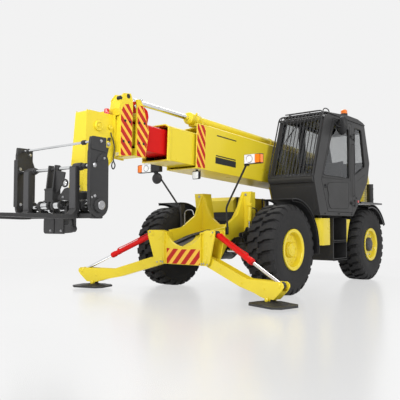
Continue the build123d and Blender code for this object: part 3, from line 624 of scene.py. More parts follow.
def makeGuards():
    for place in ("front", "rear"):
        for word, side in flanks.items():
            key = f"{place}_{word}"
            centre = mid(f"{key}_tyre")
            makeMudguard(key, centre, side, guardSpan[place])
            makeKnuckle(key, centre, side)


makeWheels()
makeGuards()
print("wheels made")


# cab: guard, seals, door fittings, mirror, beacon, wiper, seat and controls
cab = dict(outer=1.17, inner=0.39, sealRadius=0.0065)
guardBars = dict(count=12, pitch=0.062, radius=0.0062, middle=0.78, rail=0.0105)
seat = dict(middle=0.78, cushionWidth=0.5, backWidth=0.38, pressure=4.0, cap=0.016, voxel=0.006,
    channels=5)
wheelRim = dict(place=(-1.372, 0.78, 1.848), radius=0.182, thick=0.013)
windows = {  # outlines in x and z, and where the pane's outer face stands in y
    "door": [(-1.01, 1.735), (-1.975, 1.735), (-1.975, 2.56), (-1.4, 2.56), (-1.34, 2.44)],
    "quarter": [(-2.19, 1.8), (-2.64, 1.985), (-2.5, 2.62), (-2.215, 2.62)],
    "rightFront": [(-0.86, 1.75), (-1.7, 1.75), (-1.7, 2.64), (-1.25, 2.64)],
    "rightRear": [(-1.86, 1.75), (-2.2, 1.75), (-2.64, 1.985), (-2.5, 2.62),
                  (-1.86, 2.64)],
}


def sealRing(bm, outline, place, level, radius):  # a rubber bead laid round an outline
    eased = rounded(outline, 0.045, 3)
    rings = []
    for i, (u, v) in enumerate(eased):
        ahead = Vector(eased[(i + 1) % len(eased)]) - Vector(eased[i - 1])
        side = Vector((ahead.y, -ahead.x)).normalized()
        reaches = [(side * radius * c, radius * s) for c, s in around(6)]
        rings.append([bm.verts.new(place(u + reach.x, v + reach.y, level + up))
            for reach, up in reaches])
    addSkin(bm, rings, closed=True)


def onScreen(u, y, w):  # u up the windscreen from its foot, w out of it
    return at(-0.752 - 0.351 * u + 0.936 * w, y, 1.734 + 0.936 * u + 0.351 * w)


def makeSeals():
    bm = bmesh.new()
    sealRing(bm, windows["quarter"], sideView(1), cab["outer"], cab["sealRadius"])
    for name in ("rightFront", "rightRear"):
        sealRing(bm, windows[name], sideView(1), cab["inner"], cab["sealRadius"])
    screen = lambda u, v, w: onScreen(v, u, w)
    sealRing(bm, oblong(0.445, 0.004, 1.115, 0.915), screen, 0.004, 0.009)
    back = lambda u, v, w: at(-2.832 + 0.316 * v - w, u, 2.08 + 0.949 * v)
    sealRing(bm, oblong(0.465, 0.004, 1.095, 0.535), back, 0.004, 0.008)
    makePiece(bm, "window_seals", "base", "sealRubber", ease=0)
    bm = bmesh.new()
    sealRing(bm, windows["door"], sideView(1), cab["outer"], cab["sealRadius"])
    makePiece(bm, "door_window_seal", "cab_door", "sealRubber", ease=0)


def makeGuard():
    runs = []
    first = guardBars["middle"] - guardBars["pitch"] * (guardBars["count"] - 1) / 2
    for i in range(guardBars["count"]):
        y = first + i * guardBars["pitch"]
        runs.append(inPlane(y, (-0.668, 1.668), (-0.672, 1.69), (-0.74, 1.9), (-0.9, 2.34),
            (-0.99, 2.59), (-1.012, 2.656), (-1.06, 2.7), (-1.12, 2.722), (-1.196, 2.728)))
    layPipes("cab_guard_bars", "base", "blackPlastic", guardBars["radius"] * 1.2, runs,
        stands=("cab_guard",))
    lowY, highY = cab["inner"] + 0.012, cab["outer"] - 0.012
    rails = [[at(x, lowY, z), at(x, (lowY + highY) / 2, z), at(x, highY, z)]
        for x, z in ((-0.672, 1.69), (-1.01, 2.64), (-1.1, 2.716))]
    for y in (lowY, highY):  # the frame's own uprights and stand-offs
        rails.append(inPlane(y, (-0.672, 1.69), (-0.74, 1.898), (-0.9, 2.338), (-0.99, 2.59),
            (-1.012, 2.652), (-1.06, 2.7), (-1.13, 2.722), (-1.2, 2.726)))
        rails.append(inPlane(y, (-0.672, 1.69), (-0.7, 1.682), (-0.722, 1.676)))
        rails.append(inPlane(y, (-1.01, 2.64), (-1.05, 2.632), (-1.095, 2.626)))
    layPipes("cab_guard_frame", "base", "blackPlastic", guardBars["rail"], rails)
    low, high = 0.44, 1.02
    loop = [at(-1.29, low, 2.742), at(-1.292, low, 2.778), at(-1.262, low, 2.786),
        at(-1.15, low, 2.762), at(-1.118, low + 0.03, 2.756), at(-1.118, 0.73, 2.756),
        at(-1.118, high - 0.03, 2.756), at(-1.15, high, 2.762), at(-1.262, high, 2.786),
        at(-1.292, high, 2.778), at(-1.29, high, 2.742)]
    feet = [inPlane(y, (-1.118, 2.756), (-1.116, 2.74), (-1.112, 2.722)) for y in (0.56, 0.9)]
    back = [[at(-1.268, low, 2.784), at(-1.268, 0.73, 2.784), at(-1.268, high, 2.784)]]
    small = [[at(-1.1, 1.13, 2.716), at(-1.104, 1.132, 2.75), at(-1.15, 1.134, 2.786),
        at(-1.24, 1.136, 2.792), at(-1.3, 1.138, 2.776), at(-1.31, 1.138, 2.738)]]
    layPipes("roof_loops", "base", "darkPaint", 0.0085, [loop] + feet + back + small)


def makeCabSkin():
    bm = bmesh.new()
    # a rounded sill under the windscreen, and pressed panels below it
    sill = rounded([(-0.742, 1.738), (-0.7, 1.726), (-0.668, 1.69), (-0.662, 1.655),
        (-0.686, 1.606), (-0.76, 1.59)], 0.02)
    addPlate(bm, sill, sideView(1), 0.4, 1.16)
    nose = lambda u, v, w: at(-0.705 - 0.33 * v + 0.944 * w, u, 1.665 - 0.944 * v - 0.33 * w)
    addPlate(bm, rounded(oblong(0.44, 0.13, 1.12, 0.52), 0.035), nose, -0.004, 0.005)
    # raised pressing on the rear corner, below the quarter window
    addPlate(bm, rounded([(-2.205, 1.25), (-2.33, 1.355), (-2.66, 1.7), (-2.7, 1.86),
        (-2.215, 1.68)], 0.03), sideView(1), 1.166, 1.174)
    addPlate(bm, rounded([(-1.0, 1.2), (-2.05, 1.2), (-2.35, 1.48), (-2.64, 1.78), (-0.86, 1.69)],
        0.05), sideView(1), 0.384, 0.394)
    makePiece(bm, "cab_pressings", "base", "darkPaint", ease=0.003)
    bm = bmesh.new()  # roof: gutters, a hatch and its ribs
    for y in (0.384, 1.176):
        addBox(bm, (-2.6, y - 0.01, 2.712), (-1.25, y + 0.01, 2.728))
    hatch = rounded(oblong(-2.2, 0.54, -1.76, 1.02), 0.06)
    addPlate(bm, hatch, topView, 2.774, 2.8)
    for y in (0.62, 0.7, 0.78, 0.86, 0.94):
        addBox(bm, (-2.15, y - 0.016, 2.8), (-1.81, y + 0.016, 2.805))
    for x in (-2.14, -1.82):
        addRod(bm, at(x, 0.52, 2.797), at(x, 0.556, 2.797), 0.01, 14)
    makePiece(bm, "roof_hatch", "base", "darkPaint", ease=0.003)
    bm = bmesh.new()  # the panel behind the seat
    addBox(bm, (-2.602, 0.47, 1.76), (-2.556, 1.09, 2.04))
    makePiece(bm, "cab_inner_trim", "base", "blackPlastic", ease=0.006)
    bm = bmesh.new()
    for x, z in ((-2.18, 1.345), (-2.26, 1.425)):
        addBolt(bm, at(x, 1.1745, z), (0, 1, 0), 0.006)
    for x, z in ((-2.055, 1.142), (-1.56, 1.142), (-1.06, 1.142)):
        addBolt(bm, at(x, 1.171, z), (0, 1, 0), 0.007)
    makePiece(bm, "cab_bolts", "base", "blackPlastic", ease=0)
    bm = bmesh.new()
    addPlate(bm, rounded(oblong(-2.345, 1.345, -2.3, 1.385), 0.008), sideView(1), 1.171, 1.179)
    makePiece(bm, "cab_side_marker", "base", "redLens", ease=0.001)


def makeDoor():
    bm = bmesh.new()
    lower = [(-1.174, 1.612), (-1.33, 1.632), (-1.62, 1.652), (-1.944, 1.668), (-1.915, 1.238),
        (-1.245, 1.222), (-1.165, 1.33), (-1.2, 1.44), (-1.135, 1.53)]
    addPlate(bm, rounded(lower, 0.05, 5), sideView(1), 1.166, 1.1745)
    addPlate(bm, rounded(oblong(-2.012, 1.7, -2.052, 2.61), 0.015), sideView(1), 1.168, 1.174)
    ledge = rounded([(-0.99, 1.69), (-1.98, 1.712), (-1.98, 1.728), (-0.994, 1.706)], 0.006)
    addPlate(bm, ledge, sideView(1), 1.168, 1.182)
    makePiece(bm, "door_pressings", "cab_door", "darkPaint", ease=0.004)
    # black bead round the lower panel: painted shade of the groove round the sunken panel
    bm = bmesh.new()
    sealRing(bm, lower, sideView(1), 1.172, 0.006)
    makePiece(bm, "door_panel_groove_shade", "cab_door", "sealRubber", ease=0)
    bm = bmesh.new()  # latch cup, paddle and lock
    cup = rounded(oblong(-1.045, 1.53, -1.13, 1.596), 0.014)
    addPlate(bm, cup, sideView(1), 1.165, 1.173)
    addPlate(bm, rounded(oblong(-1.056, 1.562, -1.12, 1.586), 0.008), sideView(1), 1.173, 1.188)
    addRod(bm, at(-1.088, 1.172, 1.545), at(-1.088, 1.18, 1.545), 0.008, 16)
    for z in (1.33, 2.45):  # hinge plates over the straps
        addPlate(bm, rounded(oblong(-2.088, z - 0.024, -2.02, z + 0.024), 0.01), sideView(1),
            1.182, 1.186)
        for x in (-2.076, -2.036):
            addBolt(bm, at(x, 1.186, z), (0, 1, 0), 0.0055)
    makePiece(bm, "door_latch", "cab_door", "blackPlastic", ease=0.0015)
    layPipes("door_grab_rail", "base", "greyPaint", 0.0075, [[at(-2.134, 1.168, 1.45),
        at(-2.134, 1.196, 1.452), at(-2.134, 1.204, 1.48), at(-2.134, 1.204, 1.9),
        at(-2.134, 1.204, 2.3), at(-2.134, 1.196, 2.328), at(-2.134, 1.168, 2.33)]])
    layPipes("door_inner_handle", "cab_door", "blackPlastic", 0.008, [[at(-1.075, 1.136, 1.64),
        at(-1.09, 1.108, 1.65), at(-1.17, 1.1, 1.668), at(-1.42, 1.1, 1.68),
        at(-1.45, 1.108, 1.68), at(-1.46, 1.136, 1.68)]])


def addOval(bm, centre, way, stretch, profile):  # a turned disc drawn out along one axis
    addLathe(bm, (0, 0, 0), way, profile, 36, first=(0, 0, 1))
    for vert in bm.verts:
        vert.co = vert.co * Vector(stretch) + centre


def makeMirror():
    bm = bmesh.new()
    centre = at(-1.493, 1.262, 2.548)
    profile = [(0, -0.03), (0.06, -0.028), (0.09, -0.018), (0.106, 0.0), (0.11, 0.012),
        (0.104, 0.014), (0.098, 0.01), (0, 0.01)]
    way, tall = (-0.97, 0.24, 0.0), (1, 1, 1.36)
    addOval(bm, centre, way, tall, profile)
    makePiece(bm, "mirror_shell", "cab_door", "blackPlastic", ease=0)
    bm = bmesh.new()
    addOval(bm, centre, way, tall, [(0, 0.0105), (0.096, 0.0105), (0.096, 0.0115), (0, 0.0125)])
    makePiece(bm, "mirror_glass", "cab_door", "mirrorGlass", ease=0)
    layPipes("mirror_arm", "cab_door", "blackPlastic", 0.009, [[at(-1.44, 1.166, 2.61),
        at(-1.442, 1.2, 2.64), at(-1.45, 1.25, 2.652), at(-1.462, 1.268, 2.61),
        at(-1.466, 1.264, 2.56)], [at(-1.44, 1.166, 2.6), at(-1.436, 1.19, 2.56),
        at(-1.44, 1.235, 2.52), at(-1.462, 1.26, 2.52)]])


def makeBeacon():
    bm = bmesh.new()
    place = at(-2.297, 0.95, 2.7895)
    addLathe(bm, place, (0, 0, 1), [(0, 0), (0.074, 0), (0.077, 0.008), (0.074, 0.03),
        (0.068, 0.06), (0.062, 0.084), (0.058, 0.1), (0.062, 0.108), (0.062, 0.116), (0, 0.116)],
        40)
    for c, s in around(3):
        addBolt(bm, place + Vector((0.07 * c, 0.07 * s, 0.028)), (0, 0, 1), 0.003, washer=False)
    makePiece(bm, "beacon_base", "base", "blackPlastic", ease=0.001)
    bm = bmesh.new()
    profile = [(0, 0.1165), (0.058, 0.1165)]
    for i in range(5):  # moulded rings round the lens
        z = 0.12 + 0.01 * i
        profile += [(0.0575, z), (0.055, z + 0.005)]
    profile += [(0.053, 0.172), (0.043, 0.184), (0.022, 0.19), (0, 0.1905)]
    addLathe(bm, place, (0, 0, 1), profile, 40)
    makePiece(bm, "beacon_lens", "base", "amberLens", ease=0, stands=("beacon",))


def makeWiper():
    bm = bmesh.new()
    addRod(bm, onScreen(0.895, 0.745, 0.0), onScreen(0.895, 0.745, 0.03), 0.016, 20)
    makePiece(bm, "wiper_spindle", "base", "blackPlastic", ease=0.001)
    layPipes("wiper_arm", "base", "blackPlastic", 0.007, [[onScreen(0.895, 0.745, 0.026),
        onScreen(0.76, 0.665, 0.03), onScreen(0.6, 0.565, 0.02)]])
    layPipes("wiper_blade", "base", "sealRubber", 0.006, [[onScreen(0.78, 0.672, 0.014),
        onScreen(0.6, 0.565, 0.013), onScreen(0.42, 0.462, 0.014)]])


def puff(obj, cap):  # inflates a pad a little, as filling does, and keeps it near its shape
    remesh = obj.modifiers.new("skin", "REMESH")
    remesh.mode = "VOXEL"
    remesh.voxel_size = seat["voxel"]
    depsgraph = bpy.context.evaluated_depsgraph_get()
    fresh = bpy.data.meshes.new_from_object(obj.evaluated_get(depsgraph))
    obj.modifiers.clear()
    old = obj.data
    materials = list(old.materials)
    obj.data = fresh
    fresh.materials.clear()
    for material in materials:
        fresh.materials.append(material)
    start = [v.co.copy() for v in fresh.vertices]
    cloth = obj.modifiers.new("filling", "CLOTH")
    cloth.settings.use_pressure = True
    cloth.settings.uniform_pressure_force = seat["pressure"]
    cloth.settings.effector_weights.gravity = 0
    for number in range(1, 21):
        scene.frame_set(number)
    depsgraph = bpy.context.evaluated_depsgraph_get()
    blown = bpy.data.meshes.new_from_object(obj.evaluated_get(depsgraph))
    moved = [v.co.copy() for v in blown.vertices]
    obj.modifiers.clear()
    scene.frame_set(1)
    for vert, a, b in zip(fresh.vertices, start, moved):
        step = b - a
        if step.length > cap:
            step = step.normalized() * cap
        vert.co = a + step
    smooth = obj.modifiers.new("round", "SUBSURF")
    smooth.levels = smooth.render_levels = 1
    for polygon in fresh.polygons:
        polygon.use_smooth = True


def padForm(lo, hi, crown, pinch):  # a crowned pad between two corners, sides drawn in
    bm = bmesh.new()
    steps = 14
    size = hi - lo
    rows = {}
    for layer in (0, 1):
        for i in range(steps + 1):
            for j in range(steps + 1):
                u, v = 2 * i / steps - 1, 2 * j / steps - 1
                dome = (1 - abs(u) ** 3) * (1 - abs(v) ** 3)
                x = (lo.x + hi.x) / 2 + u * (size.x / 2 - pinch * (1 - abs(v)) * (abs(u) == 1))
                y = (lo.y + hi.y) / 2 + v * (size.y / 2 - pinch * (1 - abs(u)) * (abs(v) == 1))
                if layer:
                    z = hi.z - crown + crown * dome
                else:
                    z = lo.z
                rows[layer, i, j] = bm.verts.new((x, y, z))
    for layer in (0, 1):
        for i in range(steps):
            for j in range(steps):
                bm.faces.new([rows[layer, i, j], rows[layer, i + 1, j], rows[layer, i + 1, j + 1],
                    rows[layer, i, j + 1]])
    edge = [(i, 0) for i in range(steps)] + [(steps, j) for j in range(steps)] + \
        [(i, steps) for i in range(steps, 0, -1)] + [(0, j) for j in range(steps, 0, -1)]
    for k, (i, j) in enumerate(edge):
        a, b = edge[k - 1], (i, j)
        bm.faces.new([rows[0, *a], rows[0, *b], rows[1, *b], rows[1, *a]])
    return bm


def makeSeat():
    y = seat["middle"]
    half = seat["cushionWidth"] / 2
    bm = padForm(at(-2.16, y - half + 0.016, 1.492), at(-1.716, y + half - 0.016, 1.59), 0.03,
        0.01)
    cushion = makePiece(bm, "seat_cushion", "base", "seatCloth", ease=0, stands=("operator_seat",))
    puff(cushion, seat["cap"])
    half = seat["backWidth"] / 2
    bm = padForm(Vector((-0.24, -half + 0.016, -0.05)), Vector((0.24, half - 0.016, 0.046)), 0.03,
        0.01)
    lean = Vector((-0.07, 0, 0.5)).normalized()  # the back leans to the rear
    out = Vector((lean.z, 0, -lean.x))
    centre = at(-2.193, y, 1.836)
    for vert in bm.verts:
        co = vert.co.copy()
        vert.co = centre + lean * co.x + Vector((0, 1, 0)) * co.y + out * co.z
    back = makePiece(bm, "seat_back", "base", "seatCloth", ease=0)
    puff(back, seat["cap"])
    runs = []  # piping, drawn after the pads have taken their shape
    for k in range(seat["channels"]):
        z = -0.17 + 0.34 * k / (seat["channels"] - 1)
        runs.append([centre + lean * z + Vector((0, w, 0)) + out * (0.0515 - 1.1 * w * w)
            for w in (-0.14, -0.08, 0.0, 0.08, 0.14)])
    layPipes("seat_back_piping", "base", "blackPlastic", 0.0035, runs)
    bm = bmesh.new()  # suspension box, slides and shell
    addPlate(bm, rounded(oblong(-2.06, y - 0.15, -1.77, y + 0.15), 0.03), topView, 1.168, 1.44)
    for k in range(6):  # bellows
        z = 1.2 + 0.036 * k
        addPlate(bm, rounded(oblong(-2.068, y - 0.158, -1.762, y + 0.158), 0.03), topView, z,
            z + 0.014)
    addPlate(bm, rounded(oblong(-2.15, y - 0.22, -1.73, y + 0.22), 0.04), topView, 1.44, 1.486)
    for side in (1, -1):
        addBox(bm, (-2.1, y + side * 0.235 - 0.012, 1.5), (-1.9, y + side * 0.235 + 0.012, 1.56))
    makePiece(bm, "seat_base", "base", "blackPlastic", ease=0.003)


def makeControls():
    y = wheelRim["place"][1]
    bm = bmesh.new()
    body = rounded([(-1.06, 1.162), (-1.29, 1.162), (-1.236, 1.64), (-1.16, 1.712), (-0.92, 1.712),
        (-0.88, 1.602)], 0.03)
    addPlate(bm, body, sideView(1), 0.456, 1.094)
    panel = rounded(oblong(0.56, 0.0, 1.0, 0.11), 0.02)
    addPlate(bm, panel, lambda u, v, w: at(-1.236 + 0.72 * v - 0.69 * w, u,
        1.64 + 0.69 * v + 0.72 * w), 0.0, 0.012)
    column = (at(-1.225, y, 1.56), at(-1.366, y, 1.838))
    addRod(bm, column[0], column[1], 0.034, 24)
    addLathe(bm, column[0], column[1] - column[0], [(0.07, 0.02), (0.062, 0.06), (0.052, 0.15),
        (0.04, 0.2)], 24)
    # side desk with a lever
    addPlate(bm, rounded([(-1.5, 1.162), (-2.05, 1.162), (-2.05, 1.62), (-1.56, 1.66)], 0.04),
        sideView(1), 0.452, 0.512)
    for x in (-1.62, -1.72):
        addRod(bm, at(x, 0.482, 1.64), at(x + 0.02, 0.482, 1.8), 0.008, 14)
        addLathe(bm, at(x + 0.02, 0.482, 1.79), (0.1, 0, 1), [(0, 0), (0.018, 0.006),
            (0.024, 0.03), (0.022, 0.052), (0, 0.062)], 18)
    for shift in (0.18, 0.0):  # pedals
        addPlate(bm, [(0, 0), (0.1, 0.03), (0.1, 0.04), (0, 0.01)], lambda u, v, w: at(-1.33 - u,
            w + y - 0.14 + shift, 1.19 + v), 0.0, 0.05)
    makePiece(bm, "control_console", "base", "blackPlastic", ease=0.003,
        stands=("steering_console",))
    bm = bmesh.new()
    way = Vector((-13, 0, 27)).normalized()
    centre = at(*wheelRim["place"])
    across, up = Vector((0, 1, 0)), way.cross(Vector((0, 1, 0)))
    radius, thick = wheelRim["radius"], wheelRim["thick"]
    rings = []
    for c, s in around(48):
        out = across * c + up * s
        rings.append([bm.verts.new(centre + out * (radius + thick * n) + way * thick * m)
            for n, m in around(12)])
    addSkin(bm, rings, closed=True)
    for a in (90, 210, 330):
        out = across * math.cos(math.radians(a)) + up * math.sin(math.radians(a))
        addRod(bm, centre - way * 0.012, centre + out * (radius - 0.008), 0.01, 12)
    addLathe(bm, centre - way * 0.028, way, [(0, 0), (0.04, 0), (0.046, 0.012), (0.04, 0.03),
        (0, 0.034)], 28)
    makePiece(bm, "steering_wheel", "base", "blackPlastic", ease=0)


makeSeals()
makeGuard()
makeCabSkin()
makeDoor()
makeMirror()
makeBeacon()
makeWiper()
makeSeat()
makeControls()
print("cab dressed")


# boom: warning tape, glands, rods, rollers, pads and pipes
tape = dict(pitch=0.0905, red=0.054, skin=0.0016, steep=(-0.73, 0.0, 0.68),
    steeper=(-0.84, 0.0, 0.54))
headTape = [(2.26, 1.769), (2.259, 2.236), (2.246, 2.312), (2.205, 2.386), (2.136, 2.398),
    (2.072, 2.302), (2.088, 1.788)]
headTapeRight = [(2.26, 1.769), (2.259, 2.234), (2.076, 2.234), (2.09, 1.788)]
thirdTape = [(2.0, 1.792), (1.987, 2.41), (1.902, 2.414), (1.797, 2.114), (1.857, 1.783)]
boomMark = dict(bars=[(3.8, 3.322, 0.23, 0.246), (3.81, 3.33, -0.058, -0.041),
    (3.82, 3.322, -0.07, -0.162)], skin=0.0012)
collarBolts = {"boom_head": [(2.193, 2.19), (2.115, 2.186), (2.219, 1.944), (2.132, 1.943)],
    "boom_third": [(1.96, 2.198), (1.872, 2.203), (1.963, 1.952), (1.887, 1.95)]}


def boomSide(side):  # an outline in s and t on the boom's side
    return lambda s, t, y: onBoom(s, side * y, t)


def tapeSheet(name, body, outline, place, low, way, shift=0.0):
    bm = bmesh.new()
    addPlate(bm, outline, place, low, low + tape["skin"])
    paintBands(bm, way, tape, shift)
    return makePiece(bm, name, body, ["tapeYellow", "tapeRed"], ease=0)


def makeTapes():
    for word, side in flanks.items():
        outline = headTape if side > 0 else headTapeRight
        tapeSheet(f"head_plate_tape_{word}", "boom_head", outline, sideView(side), 0.205,
            tape["steep"], 0.012)
        tapeSheet(f"third_plate_tape_{word}", "boom_third", thirdTape, sideView(side), 0.205,
            tape["steep"], 0.03)
        top = 0.322 if side > 0 else 0.226
        band = [(4.052, -0.262), (4.236, -0.272), (4.236, top), (4.06, top + 0.004)]
        tapeSheet(f"boom_front_tape_{word}", "boom", band, boomSide(side), 0.27, tape["steeper"],
            0.02)
        bm = bmesh.new()
        for start, end, low, high in boomMark["bars"]:
            corners = oblong(start, low, end, high)
            addPlate(bm, corners, boomSide(side), 0.27, 0.27 + boomMark["skin"])
        makePiece(bm, f"boom_side_bars_{word}", "boom", "blackPlastic", ease=0)


# mouth of each section: body, s, half width, bottom, top, welded lip
mouths = [
    ("boom", 4.243, 0.27, -0.284, 0.362, 0.0),
    ("boom_second", 4.775, 0.225, -0.245, 0.222, 0.008),
]


def makeMouths():
    wall = 0.012
    for body, s, half, low, high, lip in mouths:
        if lip:
            bm = bmesh.new()
            rows = []
            for depth, grow in ((0.0, -0.006), (0.0, 0.0), (-0.006, lip), (-0.054, lip),
                    (-0.066, 0.0), (-0.066, -0.006)):
                corners = [(-half - grow, low - grow), (half + grow, low - grow),
                    (half + grow, high - 0.03), (half - 0.06, high + grow),
                    (0.06 - half, high + grow), (-half - grow, high - 0.03)]
                rows.append([bm.verts.new(onBoom(s + depth, y, t)) for y, t in corners])
            addSkin(bm, rows, closed=True)
            makePiece(bm, f"{body}_mouth_band", body, "yellowPaint", ease=0.001)
        # slide pads between a section and the next one in
        bm = bmesh.new()
        inner = half - wall
        for side in (1, -1):
            for t in (low + 0.07, min(high, 0.235) - 0.11):
                lo = (s - 0.18, side * (inner - 0.026), t - 0.035)
                hi = (s - 0.07, side * inner, t + 0.035)
                addBox(bm, lo, hi, onBoom)
            for y in (0.5 * inner, -0.5 * inner):
                addBox(bm, (s - 0.18, y - 0.05, low + wall), (s - 0.07, y + 0.05, low + 0.028),
                    onBoom)
        makePiece(bm, f"{body}_wear_pads", body, "blackPlastic", ease=0.002)


def makeGland():
    bm = bmesh.new()
    start, way = onBoom(3.905, 0, 0.458), onBoom(1, 0, 0) - onBoom(0, 0, 0)
    addLathe(bm, start, way, [(0.066, 0), (0.078, 0.0), (0.083, 0.01), (0.083, 0.085),
        (0.074, 0.095), (0.074, 0.15), (0.086, 0.16), (0.086, 0.215), (0.066, 0.238),
        (0.05, 0.246), (0.036, 0.246), (0.036, 0.2)], 40)
    for c, s in around(8, 0.5):
        addBolt(bm, onBoom(4.12, 0.072 * c, 0.458 + 0.072 * s), way, 0.007, washer=False)
    for side in (1, -1):  # saddle strap down to the boom
        addPlate(bm, [(3.876, 0.36), (3.92, 0.36), (3.916, 0.47), (3.88, 0.47)], boomSide(side),
            0.074, 0.088)
        addBolt(bm, onBoom(3.898, side * 0.112, 0.3615), (0, 0, 1), 0.008)
    addPlate(bm, oblong(3.87, 0.3615, 3.926, 0.371), boomSide(1), -0.14, 0.14)
    addRod(bm, onBoom(4.02, 0.048, 0.505), onBoom(4.02, 0.078, 0.542), 0.013, 16)
    makePiece(bm, "extension_gland", "boom", "yellowPaint", ease=0.0012)
    bm = bmesh.new()
    for s in (-0.03, 1.96, 3.9):  # ends and clamps along the barrel
        addLathe(bm, onBoom(s, 0, 0.458), way, collar(0.0665, 0.076, 0.006, 0.055, 0.061), 32)
    makePiece(bm, "extension_barrel_bands", "boom", "yellowPaint", ease=0.001)


def makeRodEnd():
    bm = bmesh.new()
    for side in (1, -1):  # red lugs that carry the rod's eye
        addPlate(bm, rounded([(1.705, 2.205), (1.672, 2.33), (1.69, 2.402), (1.745, 2.44),
            (1.83, 2.455), (1.93, 2.485), (1.975, 2.47), (1.975, 2.2)], 0.02), sideView(side),
            0.06, 0.082, holes=[(1.905, 2.425, 0.018)])
    makePiece(bm, "rod_eye_lugs", "boom_third", "redPaint", ease=0.002)
    bm = bmesh.new()
    for side in (1, -1):  # pins' heads in the red lugs
        addLathe(bm, at(1.905, side * 0.082, 2.425), (0, side, 0), solid((0.027, 0.007),
            (0.02, 0.011)), 20)
    makePiece(bm, "rod_eye_caps", "boom_third", "steel", ease=0.001)


def makeHeadFittings():
    # guide rollers beside the horn's edge
    bm = bmesh.new()
    for x, z, r in ((2.262, 2.452, 0.026), (2.14, 2.492, 0.033)):
        profile = [(0, 0), (r * 0.8, 0), (r, 0.008), (r, 0.016), (r * 0.8, 0.024),
            (r * 0.8, 0.032), (r, 0.04), (r, 0.048), (r * 0.8, 0.056), (0, 0.056)]
        addLathe(bm, at(x, 0.152, z), (0, 1, 0), profile, 28)
    makePiece(bm, "horn_rollers", "boom_head", "blackPlastic", ease=0.001)
    # round bosses of the head's cross pins
    bm = bmesh.new()
    for side in (1, -1):
        addLathe(bm, at(2.516, side * 0.1, 2.094), (0, side, 0), [(0.06, 0), (0.06, 0.026),
            (0.052, 0.034), (0.04, 0.034), (0.036, 0.026), (0.024, 0.026), (0.02, 0.036),
            (0, 0.038)], 32)
        addLathe(bm, at(2.344, side * 0.106, 2.1), (0, side, 0), [(0.026, 0), (0.026, 0.022),
            (0.018, 0.026), (0.014, 0.02), (0, 0.02)], 24)
        addLathe(bm, at(2.4, side * 0.132, 1.89), (0, side, 0), [(0.04, 0), (0.04, 0.01),
            (0.032, 0.014), (0.022, 0.014), (0, 0.018)], 28)
        addLathe(bm, at(2.97, side * 0.196, 1.158), (0, side, 0), [(0.05, 0), (0.05, 0.008),
            (0.042, 0.012), (0, 0.012)], 28)
    # edge plates that stand proud along the head's face
    for y in (0.0925, -0.0925):
        addBox(bm, (2.66, y - 0.006, 2.235), (2.672, y + 0.006, 2.262))
    makePiece(bm, "head_bosses", "boom_head", "yellowPaint", ease=0.0012)
    bm = bmesh.new()
    for side in (1, -1):
        addBolt(bm, at(2.4, side * 0.15, 1.89), (0, side, 0), 0.012)
        addBolt(bm, at(2.97, side * 0.208, 1.158), (0, side, 0), 0.012)
    makePiece(bm, "head_pin_bolts", "boom_head", "steel", ease=0.0008)
    # small red lamp on the head
    bm = bmesh.new()
    addLathe(bm, at(2.345, 0.055, 2.256), (0, 0, 1), solid((0.036, 0.012), (0.032, 0.014),
        (0.032, 0.06), (0.026, 0.07), (0.01, 0.074)), 28)
    makePiece(bm, "head_lamp", "boom_head", "redLens", ease=0.001)
    # bolts of the head's plate and the third section's
    for body, spots in collarBolts.items():
        bm = bmesh.new()
        for side in (1, -1):
            for x, z in spots:
                addBolt(bm, at(x, side * 0.2055, z), (0, side, 0), 0.0075)
        makePiece(bm, f"{body}_plate_bolts", body, "blackPlastic", ease=0)


def makeBoomPipes():
    # pipes along the right side of the boom
    runs = []
    for k in range(3):
        t = 0.1 + 0.034 * k
        runs.append([onBoom(-0.05, -0.283, t - 0.25), onBoom(0.05, -0.284, t - 0.06),
            onBoom(0.25, -0.284, t), onBoom(1.4, -0.284, t), onBoom(2.6, -0.284, t),
            onBoom(3.7, -0.284, t), onBoom(3.98, -0.284, t + 0.03), onBoom(4.06, -0.26, t + 0.19)])
    layPipes("boom_pipes", "boom", "steel", 0.0095, runs)
    bm = bmesh.new()
    for s in (0.55, 1.35, 2.15, 2.95, 3.65):
        addBox(bm, (s - 0.025, -0.298, 0.08), (s + 0.025, -0.27, 0.192), onBoom)
        addBolt(bm, onBoom(s, -0.298, 0.117), (0, -1, 0), 0.006)
        addBolt(bm, onBoom(s, -0.298, 0.151), (0, -1, 0), 0.006)
    makePiece(bm, "pipe_clamps", "boom", "blackPlastic", ease=0.0015)
    # hoses in a bend from the pivot down to the frame
    runs = [[onBoom(-0.05, y, -0.13), onBoom(-0.12, y, -0.22), at(-3.44, y, 1.46),
        at(-3.46, y * 0.96, 1.25), at(-3.44, y * 0.92, 1.06)] for y in (-0.25, -0.215, -0.18)]
    layPipes("pivot_hoses", "base", "hosing", 0.012, runs)
    # thin hose and its ring beside the head
    runs = [[at(2.329, 0.108, 2.04), at(2.322, 0.132, 1.965), at(2.301, 0.14, 1.896),
        at(2.302, 0.14, 1.836), at(2.305, 0.14, 1.786), at(2.317, 0.14, 1.734),
        at(2.311, 0.14, 1.7), at(2.28, 0.14, 1.655), at(2.315, 0.14, 1.6), at(2.35, 0.14, 1.649),
        at(2.325, 0.14, 1.695)]]
    layPipes("head_hose", "boom_head", "hosing", 0.0075, runs)


